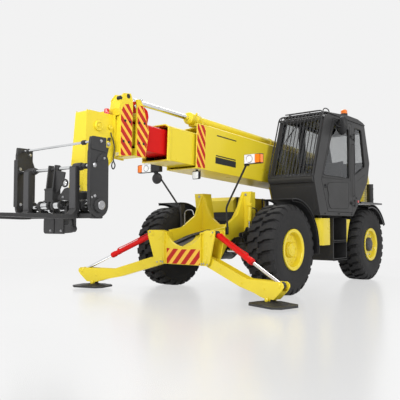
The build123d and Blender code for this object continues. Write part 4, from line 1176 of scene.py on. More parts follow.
def makeLiftFittings():
    # collar and clamp bands of the big lifting cylinder
    foot, eye = at(-3.2, 0, 0.85), onBoom(1.6, 0, -0.4)
    way = (eye - foot).normalized()
    bm = bmesh.new()
    for d in (0.16, 0.62, 1.29):
        addLathe(bm, foot + way * d, way, collar(0.0955, 0.106, 0.006, 0.064, 0.07), 36)
    across = Vector((0, 1, 0))
    for c, s in around(8):
        out = across * 0.074 * c + way.cross(across) * 0.074 * s
        addBolt(bm, foot + way * 1.37 + out, way, 0.009, washer=False)
    makePiece(bm, "lift_barrel_bands", "lift_barrel", "darkPaint", ease=0.001)
    flank = Vector((0, 0.112, 0))
    layPipes("lift_barrel_pipe", "lift_barrel", "steel", 0.01, [[foot + way * 0.2 + flank * 0.8,
        foot + way * 0.26 + flank, foot + way * 0.7 + flank, foot + way * 1.22 + flank,
        foot + way * 1.3 + flank * 0.86]])


def makeWorkLight():
    bm = bmesh.new()
    x, z = onBoom(4.18, 0, -0.284).x - axleX, onBoom(4.18, 0, -0.284).z
    body = rounded(oblong(-0.056, -0.055, 0.056, 0.055), 0.012)
    centre = (0.206, z - 0.085)
    rows = []
    for depth, size in ((-0.06, 0.78), (-0.04, 0.95), (-0.012, 1.0), (0.0, 0.97)):
        rows.append([bm.verts.new(at(x + depth, centre[0] + u * size, centre[1] + v * size))
            for u, v in body])
    addSkin(bm, rows)
    for k in range(5):  # cooling fins
        v = centre[1] - 0.04 + 0.02 * k
        addBox(bm, (x - 0.066, centre[0] - 0.04, v - 0.003), (x - 0.05, centre[0] + 0.04,
            v + 0.003))
    addBox(bm, (x - 0.034, 0.184, z - 0.034), (x - 0.028, 0.228, z - 0.006))
    for y in (0.146, 0.266):
        addBox(bm, (x - 0.04, y - 0.002, z - 0.1), (x - 0.02, y + 0.002, z - 0.022))
    addBox(bm, (x - 0.04, 0.146, z - 0.026), (x - 0.02, 0.266, z - 0.022))
    makePiece(bm, "work_light_case", "boom", "blackPlastic", ease=0.0015, stands=("work_light",))
    bm = bmesh.new()
    lens = rounded(oblong(-0.049, -0.048, 0.049, 0.048), 0.01)
    rows = [[bm.verts.new(at(x + depth, centre[0] + u * size, centre[1] + v * size))
        for u, v in lens] for depth, size in ((-0.001, 1.0), (0.004, 0.97), (0.006, 0.8))]
    addSkin(bm, rows)
    makePiece(bm, "work_light_lens", "boom", "clearLens", ease=0)


makeTapes()
makeMouths()
makeGland()
makeRodEnd()
makeHeadFittings()
makeBoomPipes()
makeLiftFittings()
makeWorkLight()
print("boom dressed")


# carriage: shafts, collars, cheek edges, hook ring and lower hook
carriageFit = dict(cheek=0.66, cheekIn=0.625, pivot=(2.97, 1.158), shaft=(3.03, 1.559),
    rod=(3.017, 1.804), noseBelow=1.336)


def darkenBelow(obj, name, height):  # the same paint, black under a level line
    mat = obj.data.materials[0].copy()
    mat.name = name
    tree = mat.node_tree
    body = next(one for one in tree.nodes if one.type == "BSDF_PRINCIPLED")
    before = body.inputs["Base Color"].links[0].from_socket
    parts = node(tree, "SeparateXYZ", {0: node(tree, "TexCoord").outputs["Object"]})
    below = maths(tree, "LESS_THAN", parts.outputs["Z"], height)
    tree.links.new(blendColours(tree, below, before, surfaces["darkPaint"]["colour"]),
        body.inputs["Base Color"])
    obj.data.materials[0] = mat


def acrossRods(bm, place, spans, radius, sides=24):  # spans are (from, to) in y
    x, z = place
    for low, high in spans:
        addRod(bm, at(x, low, z), at(x, high, z), radius, sides, ease=0.08)


def makeShafts():
    pivot, shaft, rod = carriageFit["pivot"], carriageFit["shaft"], carriageFit["rod"]
    inside = carriageFit["cheekIn"]
    bm = bmesh.new()
    acrossRods(bm, rod, [(-inside, inside)], 0.0135)
    acrossRods(bm, shaft, [(-inside, -0.47), (-0.35, -0.068), (0.068, 0.35), (0.47, inside)],
        0.019)
    acrossRods(bm, pivot, [(-inside, -0.47), (-0.455, -0.325), (0.262, 0.4), (0.455, 0.56)], 0.036,
        32)
    makePiece(bm, "carriage_sleeves", "carriage", "chrome", ease=0.0008)
    bm = bmesh.new()
    acrossRods(bm, rod, [(-0.52, -0.495), (0.455, 0.5)], 0.025)
    acrossRods(bm, shaft, [(-0.525, -0.488), (-0.34, -0.318), (0.068, 0.1), (0.488, 0.54)], 0.03)
    acrossRods(bm, pivot, [(-0.47, -0.452), (-0.325, -0.256), (0.256, 0.285), (0.4, 0.455)], 0.06,
        32)
    makePiece(bm, "carriage_collars", "carriage", "darkPaint", ease=0.003)
    bm = bmesh.new()  # bright bands round the boom's nose on the pivot
    for low, high in ((-0.168, -0.092), (0.102, 0.176)):
        addLathe(bm, at(pivot[0], low, pivot[1]), (0, 1, 0), collar(0.066, 0.0715, 0.003,
            high - low - 0.003, high - low), 40, closed=True)
    makePiece(bm, "nose_bands", "boom_head", "chrome", ease=0.0008)
    bm = bmesh.new()
    for side in (1, -1):
        addLathe(bm, at(pivot[0] - 0.012, side * 0.6865, pivot[1]), (0, side, 0),
            solid((0.046, 0.006), (0.04, 0.01), (0.018, 0.01), (0.015, 0.007)), 36)
        addLathe(bm, at(shaft[0], side * carriageFit["cheek"], shaft[1]), (0, side, 0),
            solid((0.024, 0.006), (0.018, 0.009)), 24)
        for x, z, size in ((3.03, 1.25, 0.01), (3.064, 1.236, 0.007), (2.95, 1.81, 0.009),
                (2.905, 1.64, 0.007)):
            addBolt(bm, at(x, side * carriageFit["cheek"], z), (0, side, 0), size)
        for x, z in ((2.914, 1.774), (3.043, 1.6), (3.034, 1.195)):
            addBolt(bm, at(x, side * inside, z), (0, -side, 0), 0.009)
    makePiece(bm, "carriage_pin_ends", "carriage", "steel", ease=0.0006)


def makeCheekTrim():
    bm = bmesh.new()
    for side in (1, -1):
        # folded flange down the front edge, doublers at the top and the foot
        inner = 0.628 if side > 0 else 0.6
        flange = rounded(oblong(inner, 1.165, 0.672, 1.705), 0.012)
        addPlate(bm, flange, lambda u, v, w: at(w, side * u, v), 3.0855, 3.0955)
        cap = rounded([(2.882, 1.7), (3.08, 1.72), (3.07, 1.85), (2.882, 1.85)], 0.015)
        addPlate(bm, cap, sideView(side), 0.6605, 0.668, holes=[(2.95, 1.81, 0.02)])
        ring = rounded([(2.862, 1.12), (2.862, 1.3), (3.078, 1.3), (3.078, 1.12)], 0.02)
        addPlate(bm, ring, sideView(side), 0.6605, 0.6655, holes=[(2.97, 1.158, 0.0705)])
        hookEdge = rounded([(2.88, 1.665), (2.935, 1.64), (2.99, 1.59), (3.01, 1.6), (2.985, 1.65),
            (2.93, 1.69)], 0.012)
        addPlate(bm, hookEdge, sideView(side), 0.6605, 0.672)
        addBox(bm, (2.892, side * 0.232, 1.075), (2.91, side * 0.62, 1.11))
    # bar behind the left fork
    addBox(bm, (2.89, 0.262, 1.224), (2.93, 0.622, 1.3))
    makePiece(bm, "cheek_trim", "carriage", "darkPaint", ease=0.003)
    rows = []
    for side in (1, -1):  # weld beads where the cheeks meet the lower bar
        rows += [inPlane(side * 0.622, (2.9, 1.03), (2.975, 1.028), (3.05, 1.03))]
    layPipes("carriage_welds", "carriage", "darkPaint", 0.005, rows)


def makeHooks():
    bm = bmesh.new()
    # the ear's plate and the gusset under the ring
    addPlate(bm, rounded([(0.066, 1.545), (0.226, 1.512), (0.2, 1.43), (0.13, 1.33),
        (0.066, 1.29)], 0.012), frontView, 3.046, 3.06)
    addPlate(bm, rounded([(0.1, 1.226), (0.23, 1.216), (0.308, 1.222), (0.312, 1.335),
        (0.262, 1.352), (0.206, 1.342), (0.15, 1.29), (0.1, 1.27)], 0.014), frontView, 3.04, 3.054)
    for low, high in ((-0.182, -0.14), (-0.018, 0.016), (0.052, 0.088), (0.178, 0.206)):
        addLathe(bm, at(3.072, low, 1.166), (0, 1, 0),
            collar(0.03, 0.05, 0.004, high - low - 0.004, high - low), 32, closed=True)
    addBox(bm, (3.04, -0.078, 1.33), (3.102, 0.078, 1.346))
    addBox(bm, (3.06, -0.085, 1.205), (3.104, 0.085, 1.222))
    for side in (1, -1):
        outline = rounded([(2.998, 1.35), (3.062, 1.35), (3.056, 1.596), (3.004, 1.596)], 0.012)
        addPlate(bm, outline, sideView(side), 0.0655, 0.0735, holes=[(3.03, 1.559, 0.022)])
    # lower plates and the hook beside them
    addPlate(bm, rounded(oblong(-0.19, 0.866, -0.006, 1.04), 0.04), frontView, 3.008, 3.024)
    addPlate(bm, rounded(oblong(0.02, 0.866, 0.168, 1.04), 0.014), frontView, 3.008, 3.03)
    addPlate(bm, rounded([(0.15, 0.872), (0.27, 0.88), (0.328, 0.9), (0.332, 0.936), (0.3, 0.958),
        (0.288, 1.028), (0.246, 1.028), (0.236, 0.96), (0.15, 0.962)], 0.016), frontView, 2.99,
        3.018)
    addRod(bm, at(2.978, 0.306, 0.922), at(3.046, 0.306, 0.922), 0.036, 24, ease=0.3)
    addRod(bm, at(2.94, -0.15, 0.94), at(3.0, -0.15, 0.94), 0.028, 20)
    makePiece(bm, "hook_plates", "carriage", "darkPaint", ease=0.003)
    bm = bmesh.new()
    ring = [(0.036 + 0.01 * c, 0.01 * s) for c, s in around(10)]
    addLathe(bm, at(3.058, 0.224, 1.398), (1, 0.15, 0), ring, 32, closed=True)
    makePiece(bm, "hook_ring", "carriage", "darkPaint", ease=0)
    bm = bmesh.new()
    addLathe(bm, at(3.05, 0.236, 1.392), (1, 0.2, 0.1), solid((0.022, 0.016), (0.014, 0.022)), 24)
    makePiece(bm, "hook_ring_stud", "carriage", "chrome", ease=0.0005)
    bm = bmesh.new()
    for x, y, z in ((3.024, -0.06, 0.9), (3.03, 0.13, 0.9), (3.054, 0.19, 1.252)):
        addBolt(bm, at(x, y, z), (1, 0, 0), 0.007)
    makePiece(bm, "hook_bolts", "carriage", "steel", ease=0.0005)
    bm = bmesh.new()  # bright rollers between the collars
    for low, high in ((-0.14, -0.018), (0.088, 0.178)):
        addRod(bm, at(3.072, low, 1.166), at(3.072, high, 1.166), 0.04, 32, ease=0.05)
    makePiece(bm, "hook_rollers", "carriage", "chrome", ease=0.0006)
    bm = bmesh.new()  # dark bar down the side of the head
    leaning = lambda u, v, w: at(u, 0.1813 - 0.0371 * v + w, v)
    addPlate(bm, rounded([(2.332, 1.98), (2.375, 1.974), (2.475, 1.625), (2.434, 1.625)], 0.012),
        leaning, -0.003, 0.011)
    makePiece(bm, "head_side_bar", "boom_head", "darkPaint", ease=0.002)


def makeForkTrim():
    for word, side in flanks.items():
        bm = bmesh.new()
        y = side * 0.41
        # eye plates and the wear face up the shank
        for edge in (0.055, -0.055):
            way = math.copysign(1, edge)
            addLathe(bm, at(3.03, y + edge, 1.56), (0, way, 0), [(0.0205, 0), (0.038, 0),
                (0.038, 0.004), (0.03, 0.007), (0.0205, 0.007)], 28, closed=True)
        addBox(bm, (3.104, y - 0.046, 1.13), (3.108, y + 0.046, 1.548))
        addBox(bm, (3.17, y - 0.046, 1.068), (4.08, y + 0.046, 1.0715))
        makePiece(bm, f"fork_faces_{word}", f"fork_{word}", "greyPaint", ease=0.0015)


def makeTilt():
    foot, eye = at(2.4, 0, 1.89), at(2.82, 0, 1.0)
    way = (eye - foot).normalized()
    bm = bmesh.new()
    for d, long in ((0.055, 0.03), (0.5, 0.056)):
        addLathe(bm, foot + way * d, way, collar(0.0432, 0.05, 0.004, long - 0.004, long), 32)
    makePiece(bm, "tilt_barrel_bands", "tilt_barrel", "darkPaint", ease=0.001)


darkenBelow(frame["nodes"]["boom_head"], "noseBlackYellow", carriageFit["noseBelow"])
makeShafts()
makeCheekTrim()
makeHooks()
makeForkTrim()
makeTilt()
print("carriage dressed")


# front: lamps on stalks, cross panel tape, brackets, stabilisers, levelling cylinder
frontLamps = {
    # y from the middle outwards: dark housing, clear lens, amber end
    "left": dict(side=1, dark=(0.835, 0.85), white=(0.85, 1.012), amber=(1.016, 1.104),
                 foot=(0.44, 0.9), bend=(0.47, 1.2), top=(0.608, 0.86, 1.776)),
    "right": dict(side=-1, dark=(0.69, 0.868), white=(0.872, 1.056), amber=(1.06, 1.149),
                  foot=(0.44, 0.9), bend=(0.47, 1.2), top=(0.608, 0.8, 1.78)),
}
lampCase = dict(x=(0.582, 0.64), z=(1.766, 1.894), lens=0.655, stalk=0.0135)
lowTape = dict(pitch=0.118, red=0.066, skin=0.0016, way=(0.0, -0.74, 0.67))
lowPanel = [(-0.318, 0.424), (0.318, 0.424), (0.318, 0.64), (0.22, 0.636), (0.0, 0.628),
    (-0.22, 0.636), (-0.318, 0.64)]
armCaps = dict(pins=[(0.0, 0.0, 0.04), (0.14, 0.362, 0.03)], plate=0.0905)


def makeLamps():
    runs = []
    for word, lamp in frontLamps.items():
        side = lamp["side"]
        x0, x1 = lampCase["x"]
        z0, z1 = lampCase["z"]
        fx, fz = lamp["foot"]
        bx, bz = lamp["bend"]
        tx, ty, tz = lamp["top"]
        runs.append([at(fx, side * 0.42, fz), at((fx + bx) / 2, side * 0.42, (fz + bz) / 2),
            at(bx, side * 0.421, bz - 0.03), at(bx + 0.008, side * 0.436, bz + 0.03),
            at((bx + tx) / 2, side * (0.42 + ty) / 2, (bz + tz) / 2), at(tx, side * ty, tz)])
        bm = bmesh.new()  # case round all three, ribs behind, clamp to the stalk
        addBox(bm, (x0, side * lamp["dark"][0], z0), (x1, side * lamp["amber"][1], z1))
        if word == "right":
            addBox(bm, (x1, side * lamp["dark"][0], z0 + 0.012),
                (x1 + 0.012, side * (lamp["dark"][1] - 0.004), z1 - 0.012))
        for k in range(4):
            z = z0 + 0.025 + 0.026 * k
            addBox(bm, (x0 - 0.006, side * (lamp["white"][0] + 0.01), z - 0.004),
                (x0, side * (lamp["white"][1] - 0.01), z + 0.004))
        addBox(bm, (tx - 0.022, side * (ty - 0.03), z0 - 0.02), (tx + 0.022, side * (ty + 0.03),
            z0 + 0.002))
        makePiece(bm, f"lamp_case_{word}", "base", "blackPlastic", ease=0.006)
        for kind, surface in (("white", "clearLens"), ("amber", "amberLens")):
            bm = bmesh.new()
            low, high = (side * y for y in lamp[kind])
            inset = 0.006 if kind == "white" else 0.01
            addBox(bm, (x1 - 0.004, low, z0 + inset), (lampCase["lens"], high, z1 - inset))
            if kind == "amber":  # wraps the end of the case
                addBox(bm, (x0 + 0.012, high - side * 0.02, z0 + inset),
                    (lampCase["lens"], high + side * 0.001, z1 - inset))
            for k in range(5):  # moulded flutes
                y = low + (high - low) * (k + 0.5) / 5
                addBox(bm, (lampCase["lens"], y - 0.004, z0 + 0.018), (lampCase["lens"] + 0.003,
                    y + 0.004, z1 - 0.018))
            makePiece(bm, f"lamp_{kind}_{word}", "base", surface, ease=0.003)
        bm = bmesh.new()  # reflector bowl seen through the clear lens
        middle = side * (lamp["white"][0] + lamp["white"][1]) / 2
        addLathe(bm, at(lampCase["lens"] + 0.001, middle, (z0 + z1) / 2), (1, 0, 0),
            [(0.04, 0), (0.048, 0.003), (0.052, 0.003), (0.054, 0.0), (0.04, 0.0)], 32)
        makePiece(bm, f"lamp_ring_{word}", "base", "steel", ease=0)
    layPipes("lamp_stalk_bars", "base", "blackPlastic", lampCase["stalk"], runs,
        stands=("lamp_stalks",))
    # oval mirror under the right-hand lamp
    bm = bmesh.new()
    profile = [(0, -0.024), (0.05, -0.021), (0.076, -0.01), (0.086, 0.004), (0.084, 0.012),
        (0, 0.012)]
    centre = at(0.6, -0.79, 1.672)
    wide = (1, 1.18, 1)
    addOval(bm, centre, (-1, 0, 0), wide, profile)
    makePiece(bm, "front_mirror_shell", "base", "blackPlastic", ease=0)
    bm = bmesh.new()
    addOval(bm, centre, (-1, 0, 0), wide, oblong(0, 0.0125, 0.078, 0.0135))
    makePiece(bm, "front_mirror_glass", "base", "mirrorGlass", ease=0)
    layPipes("front_mirror_stay", "base", "blackPlastic", 0.008, [[at(0.606, -0.786, 1.775),
        at(0.612, -0.784, 1.735), at(0.604, -0.778, 1.7)]])
    # bright hoop and clamp feet of the stalks
    layPipes("stalk_hoop", "base", "steel", 0.007, [[at(0.42, -0.384, 0.965),
        at(0.43, -0.374, 1.1), at(0.438, -0.366, 1.16), at(0.44, -0.32, 1.186),
        at(0.44, -0.25, 1.188), at(0.44, -0.205, 1.17), at(0.438, -0.196, 1.11)]])
    bm = bmesh.new()
    for side in (1, -1):
        addBox(bm, (0.405, side * 0.4055, 0.83), (0.475, side * 0.413, 0.93))
        addRod(bm, at(0.44, side * 0.42, 0.845), at(0.44, side * 0.42, 0.935), 0.0165, 20)
        for z in (0.85, 0.915):
            addBolt(bm, at(0.462, side * 0.413, z), (0, side, 0), 0.006)
    makePiece(bm, "stalk_feet", "base", "blackPlastic", ease=0.0015)


def makeFrontFrame():
    bm = bmesh.new()
    addPlate(bm, lowPanel, frontView, 0.9004, 0.9004 + lowTape["skin"])
    paintBands(bm, lowTape["way"], lowTape, 0.02)
    makePiece(bm, "cross_panel_tape", "base", ["tapeYellow", "tapeRed"], ease=0)
    bm = bmesh.new()
    for side in (1, -1):
        # upright edge plates either side of the panel, and the lip of the dished top
        addBox(bm, (0.898, side * 0.322, 0.424), (0.938, side * 0.334, 0.858))
        addBox(bm, (0.866, side * 0.3335, 0.846), (0.934, side * 0.372, 0.858))
        # rear edge plates of the posts and doubler round their foot
        addPlate(bm, rounded([(-0.18, 0.93), (-0.01, 0.93), (-0.01, 1.06), (-0.18, 1.1)], 0.02),
            sideView(side), 0.4702, 0.478)
        for z in (0.96, 1.38):
            addLathe(bm, at(-0.095, side * 0.4702, z), (0, side, 0), solid((0.036, 0.01),
                (0.03, 0.014), (0.018, 0.014), (0.016, 0.01)), 28)
        for x, z in ((0.56, 0.64), (0.7, 0.52)):
            addLathe(bm, at(x, side * 0.4052, z), (0, side, 0), oblong(0, 0, 0.022, 0.004), 20)
    makePiece(bm, "front_frame_edges", "base", "yellowPaint", ease=0.003)
    bm = bmesh.new()
    for side in (1, -1):
        for u, v, r in armCaps["pins"]:
            for n in (1, -1):
                way = onArm(side, 0, n, 0) - onArm(side, 0, 0, 0)
                spot = onArm(side, u, n * armCaps["plate"], v)
                addLathe(bm, spot, way, solid((r, 0.006), (r - 0.005, 0.01)), 28)
    makePiece(bm, "bracket_pin_heads", "base", "yellowPaint", ease=0.0006)
    bm = bmesh.new()
    for side in (1, -1):
        addBolt(bm, at(0.0005, side * 0.436, 1.405), (1, 0, 0), 0.012)
        for y, z in ((0.352, 0.446), (0.388, 0.452)):
            addBolt(bm, at(0.938, side * y, z), (1, 0, 0), 0.006)
        for u, v in ((0.06, -0.04), (0.18, 0.385)):
            way = onArm(side, 0, 1, 0) - onArm(side, 0, 0, 0)
            addBolt(bm, onArm(side, u, armCaps["plate"], v), way, 0.006)
        for x in (-0.15, -0.04):
            for z in (0.955, 1.03):
                addBolt(bm, at(x, side * 0.4782, z), (0, side, 0), 0.007)
    makePiece(bm, "front_frame_bolts", "base", "steel", ease=0.0005)
    runs = []
    for side in (1, -1):  # weld seams
        runs.append(inPlane(side * 0.32, (0.902, 0.43), (0.902, 0.62), (0.902, 0.84)))
        runs.append(inPlane(side * 0.372, (0.01, 0.905), (0.011, 1.15), (0.01, 1.4)))
    layPipes("front_frame_welds", "base", "yellowPaint", 0.005, runs)
    # painted shade: a thin black sheet where the opening in the deck shows dark, with its hoses
    slope = lambda u, v, w: at(u, v, 0.8905 - 0.2707 * u + w)
    bm = bmesh.new()
    addPlate(bm, rounded([(0.33, -0.366), (0.864, -0.366), (0.864, -0.07), (0.56, -0.12),
        (0.33, -0.24)], 0.04), slope, 0.001, 0.004)
    makePiece(bm, "deck_opening_shade", "base", "blackPlastic", ease=0)
    layPipes("deck_hoses", "base", "hosing", 0.013, [[slope(0.1, y * 0.6, 0.02),
        slope(0.34, y, 0.022), slope(0.56, y + 0.02, 0.026), slope(0.78, y + 0.01, 0.024),
        slope(0.862, y, 0.012)] for y in (-0.33, -0.295, -0.26)])


def makeLeveller():
    bm = bmesh.new()
    foot, top = at(0.03, 0.508, 0.905), at(0.008, 0.508, 1.25)
    way = (top - foot).normalized()
    addLathe(bm, foot + way * 0.11, way, [(0.02, 0), (0.034, 0), (0.036, 0.004), (0.036, 0.03),
        (0.032, 0.034), (0.032, 0.205), (0.026, 0.212), (0, 0.212)], 28)
    addRod(bm, at(0.006, 0.47, 1.252), at(0.006, 0.546, 1.252), 0.026, 24)
    makePiece(bm, "levelling_barrel", "base", "yellowPaint", ease=0.001)
    bm = bmesh.new()
    addRod(bm, foot, foot + way * 0.125, 0.017, 24)
    makePiece(bm, "levelling_rod", "base", "chrome", ease=0.0005)
    bm = bmesh.new()
    for low, high in ((0.472, 0.486), (0.53, 0.544)):
        addPlate(bm, rounded([(-0.02, 0.93), (0.06, 0.936), (0.11, 0.87), (0.235, 0.852),
            (0.25, 0.8), (0.13, 0.78), (0.095, 0.69), (-0.06, 0.69), (-0.03, 0.8)], 0.02),
            sideView(1), low, high)
    addRod(bm, at(0.03, 0.466, 0.905), at(0.03, 0.552, 0.905), 0.022, 24)
    addBox(bm, (-0.06, 0.47, 0.7), (0.235, 0.546, 0.716))
    makePiece(bm, "levelling_fork", "base", "darkPaint", ease=0.002)
    layPipes("levelling_hose", "base", "hosing", 0.0085, [[at(-0.02, 0.52, 1.21),
        at(-0.07, 0.545, 1.215), at(-0.125, 0.548, 1.15), at(-0.15, 0.54, 1.05),
        at(-0.13, 0.53, 0.93), at(-0.1, 0.52, 0.82), at(-0.11, 0.515, 0.74)]])


def makeStabilisers():
    foot, eye = (0.14, 0.362), (1.365, -0.2)
    length = math.hypot(eye[0] - foot[0], eye[1] - foot[1])
    along = lambda side, d, n=0.0, lift=0.0: onArm(
        side, foot[0] + (eye[0] - foot[0]) * d / length - (eye[1] - foot[1]) * lift / length, n,
        foot[1] + (eye[1] - foot[1]) * d / length + (eye[0] - foot[0]) * lift / length)
    for word, side in flanks.items():
        way = along(side, 1) - along(side, 0)
        barrel, rod = f"outrigger_barrel_{word}", f"outrigger_rod_{word}"
        bm = bmesh.new()
        for d, long, r in ((0.06, 0.026, 0.0385), (0.64, 0.05, 0.0395), (0.724, 0.062, 0.043)):
            addLathe(bm, along(side, d), way, [(0.036, 0), (r - 0.003, 0), (r, 0.004),
                (r, long - 0.004), (r - 0.003, long), (0.036, long)], 32)
        for d in (0.1, 0.665):  # oil ports on top
            addRod(bm, along(side, d, 0, 0.028), along(side, d, 0, 0.052), 0.015, 18)
        makePiece(bm, f"stabiliser_bands_{word}", barrel, "redPaint", ease=0.001)
        layPipes(f"stabiliser_pipe_{word}", barrel, "redPaint", 0.0065,
            [[along(side, 0.665, 0, 0.05), along(side, 0.64, 0.006, 0.056),
            along(side, 0.56, 0.01, 0.047), along(side, 0.34, 0.01, 0.046),
            along(side, 0.16, 0.01, 0.047), along(side, 0.12, 0.004, 0.052)]])
        bm = bmesh.new()  # dark eye at the foot
        nose = onArm(side, foot[0], 0, foot[1])
        across = onArm(side, 0, 1, 0) - onArm(side, 0, 0, 0)
        addLathe(bm, nose - across * 0.036, across, collar(0.0385, 0.0425, 0.004, 0.068, 0.072),
            32)
        addLathe(bm, along(side, 0.022), way, collar(0.03, 0.039, 0.002, 0.024, 0.026), 32)
        makePiece(bm, f"stabiliser_eye_{word}", barrel, "blackPlastic", ease=0.001)
        bm = bmesh.new()  # rod's eye in the arm's open end
        tip = onArm(side, eye[0], 0, eye[1])
        addLathe(bm, tip - across * 0.026, across, collar(0.034, 0.04, 0.004, 0.048, 0.052), 32)
        makePiece(bm, f"stabiliser_rod_eye_{word}", rod, "darkPaint", ease=0.001)
        bm = bmesh.new()
        arm = f"outrigger_arm_{word}"
        for u, v, r in ((0.0, 0.0, 0.044), (1.365, -0.2, 0.03)):
            for n in (1, -1):
                spot = onArm(side, u, n * 0.0552, v)
                addLathe(bm, spot, across * n, solid((r, 0.004), (r - 0.006, 0.008)), 28)
        for u, v in ((0.3, -0.085), (0.72, -0.226), (1.12, -0.262)):
            addBolt(bm, onArm(side, u, 0.0552, v), across, 0.006)
        makePiece(bm, f"arm_pin_heads_{word}", arm, "yellowPaint", ease=0.0008)
        bm = bmesh.new()  # pad: raised ribs and the ball's cap
        ball = onArm(side, 1.177, 0, -0.378)
        pad = f"outrigger_pad_{word}"
        addLathe(bm, Vector((ball.x, ball.y, 0.056)), (0, 0, 1), [(0, 0), (0.225, 0.001),
            (0.215, 0.008), (0.11, 0.02), (0.062, 0.034), (0.052, 0.04), (0, 0.04)], 8)
        makePiece(bm, f"pad_cone_{word}", pad, "blackPlastic", ease=0.002)
        bm = bmesh.new()
        addLathe(bm, onArm(side, 1.177, 0.0635, -0.378), across, [(0, 0), (0.024, 0),
            (0.028, 0.004), (0.028, 0.014), (0.018, 0.022), (0, 0.024)], 28)
        makePiece(bm, f"ball_cap_{word}", arm, "yellowPaint", ease=0.0008)


makeLamps()
makeFrontFrame()
makeLeveller()
makeStabilisers()
print("front dressed")


# body: hood, tank, steps, mudguards, axles, tail
hood = dict(front=-0.9, face=-1.11, louvres=9, pitch=0.03)


def slats(bm, place, across, low, count, pitch, depth, lift):  # louvre blades, one under another
    for k in range(count):
        v = low + pitch * k
        outline = [(v, 0.0), (v + lift, 0.0), (v + 0.004, depth), (v, depth)]
        addSkin(bm, [[bm.verts.new(place(u, a, b)) for a, b in outline] for u in across])


def makeHood():
    side = lambda u, v, w: at(u, hood["face"] - w, v)
    front = lambda u, v, w: at(hood["front"] + w, u, v)
    bm = bmesh.new()
    for u0, u1 in ((-1.86, -1.48), (-1.38, -1.0)):
        slats(bm, side, (u0, u1), 0.76, hood["louvres"], hood["pitch"], 0.01, 0.018)
    slats(bm, front, (-1.03, -0.5), 0.7, 12, 0.034, 0.01, 0.02)
    for u0, u1 in ((-1.89, -1.45), (-1.41, -0.97)):
        for v in (0.73, 1.06):
            addBox(bm, (u0, hood["face"] - 0.004, v), (u1, hood["face"], v + 0.008))
        for u in (u0, u1 - 0.008):
            addBox(bm, (u, hood["face"] - 0.004, 0.73), (u + 0.008, hood["face"], 1.068))
    makePiece(bm, "hood_louvres", "base", "darkPaint", ease=0.0012)
    bm = bmesh.new()
    slats(bm, lambda u, v, w: at(u, -1.108 - w, v), (-1.76, -1.08), 1.235, 4, 0.032, 0.008, 0.018)
    for u in (-1.8, -1.05):  # catches of the cover
        addBox(bm, (u - 0.028, -1.122, 1.196), (u + 0.028, -1.108, 1.226))
    addPlate(bm, rounded(oblong(-1.82, -1.02, -1.02, -0.52), 0.05), topView, 1.4402, 1.443)
    makePiece(bm, "cover_pressings", "engine_cover", "yellowPaint", ease=0.0012)
    layPipes("cover_handle", "engine_cover", "blackPlastic", 0.008, [[at(-1.52, -1.108, 1.212),
        at(-1.516, -1.14, 1.214), at(-1.42, -1.146, 1.214), at(-1.324, -1.14, 1.214),
        at(-1.32, -1.108, 1.212)]])
    # intake cap on the hood
    bm = bmesh.new()
    addLathe(bm, at(-1.72, -0.64, 1.4425), (0, 0, 1), [(0, 0), (0.04, 0), (0.04, 0.02),
        (0.062, 0.026), (0.064, 0.07), (0.056, 0.084), (0, 0.088)], 32)
    makePiece(bm, "air_intake", "engine_cover", "blackPlastic", ease=0.001)


def makeTank():
    bm = bmesh.new()  # tank with round upright corners, and the leaning panel behind the steps
    corners = rounded(oblong(-1.415, 0.425, -1.01, 1.12), 0.125, 8)
    addPlate(bm, corners, topView, 0.65, 1.07)
    panel = rounded([(-2.105, 1.06), (-1.94, 1.06), (-1.94, 0.66), (-1.966, 0.67), (-1.99, 0.77),
        (-2.02, 0.87), (-2.062, 0.966)], 0.02)
    addPlate(bm, panel, sideView(1), 0.425, 1.12)
    makePiece(bm, "fuel_tank_shell", "base", "yellowPaint", ease=0.016, stands=("fuel_tank",))
    bm = bmesh.new()
    addLathe(bm, at(-1.12, 1.035, 1.0695), (0, 0, 1), solid((0.048, 0.012), (0.04, 0.016),
        (0.04, 0.026), (0.046, 0.028), (0.046, 0.042), (0.038, 0.048)), 32)
    makePiece(bm, "filler_cap", "base", "blackPlastic", ease=0.0008)
    bm = bmesh.new()
    for z in (0.4255, 0.7155):  # grip bars on the treads
        for k in range(7):
            x = -1.905 + 0.076 * k
            addBox(bm, (x - 0.008, 0.64, z), (x + 0.008, 1.12, z + 0.006))
        addBox(bm, (-1.93, 1.1225, z - 0.03), (-1.425, 1.13, z + 0.006))
    for x in (-1.9355, -1.4195):
        for z in (0.46, 0.62, 0.8, 0.98):
            addBolt(bm, at(x, 1.04, z), (math.copysign(1, x + 1.68), 0, 0), 0.006)
    makePiece(bm, "step_grips", "base", "darkPaint", ease=0.001)
    layPipes("step_rail", "base", "darkPaint", 0.011, [[at(-1.945, 1.118, 1.13),
        at(-1.962, 1.15, 1.15), at(-1.965, 1.158, 1.3), at(-1.965, 1.158, 1.42),
        at(-1.955, 1.15, 1.5), at(-1.94, 1.14, 1.515)]])


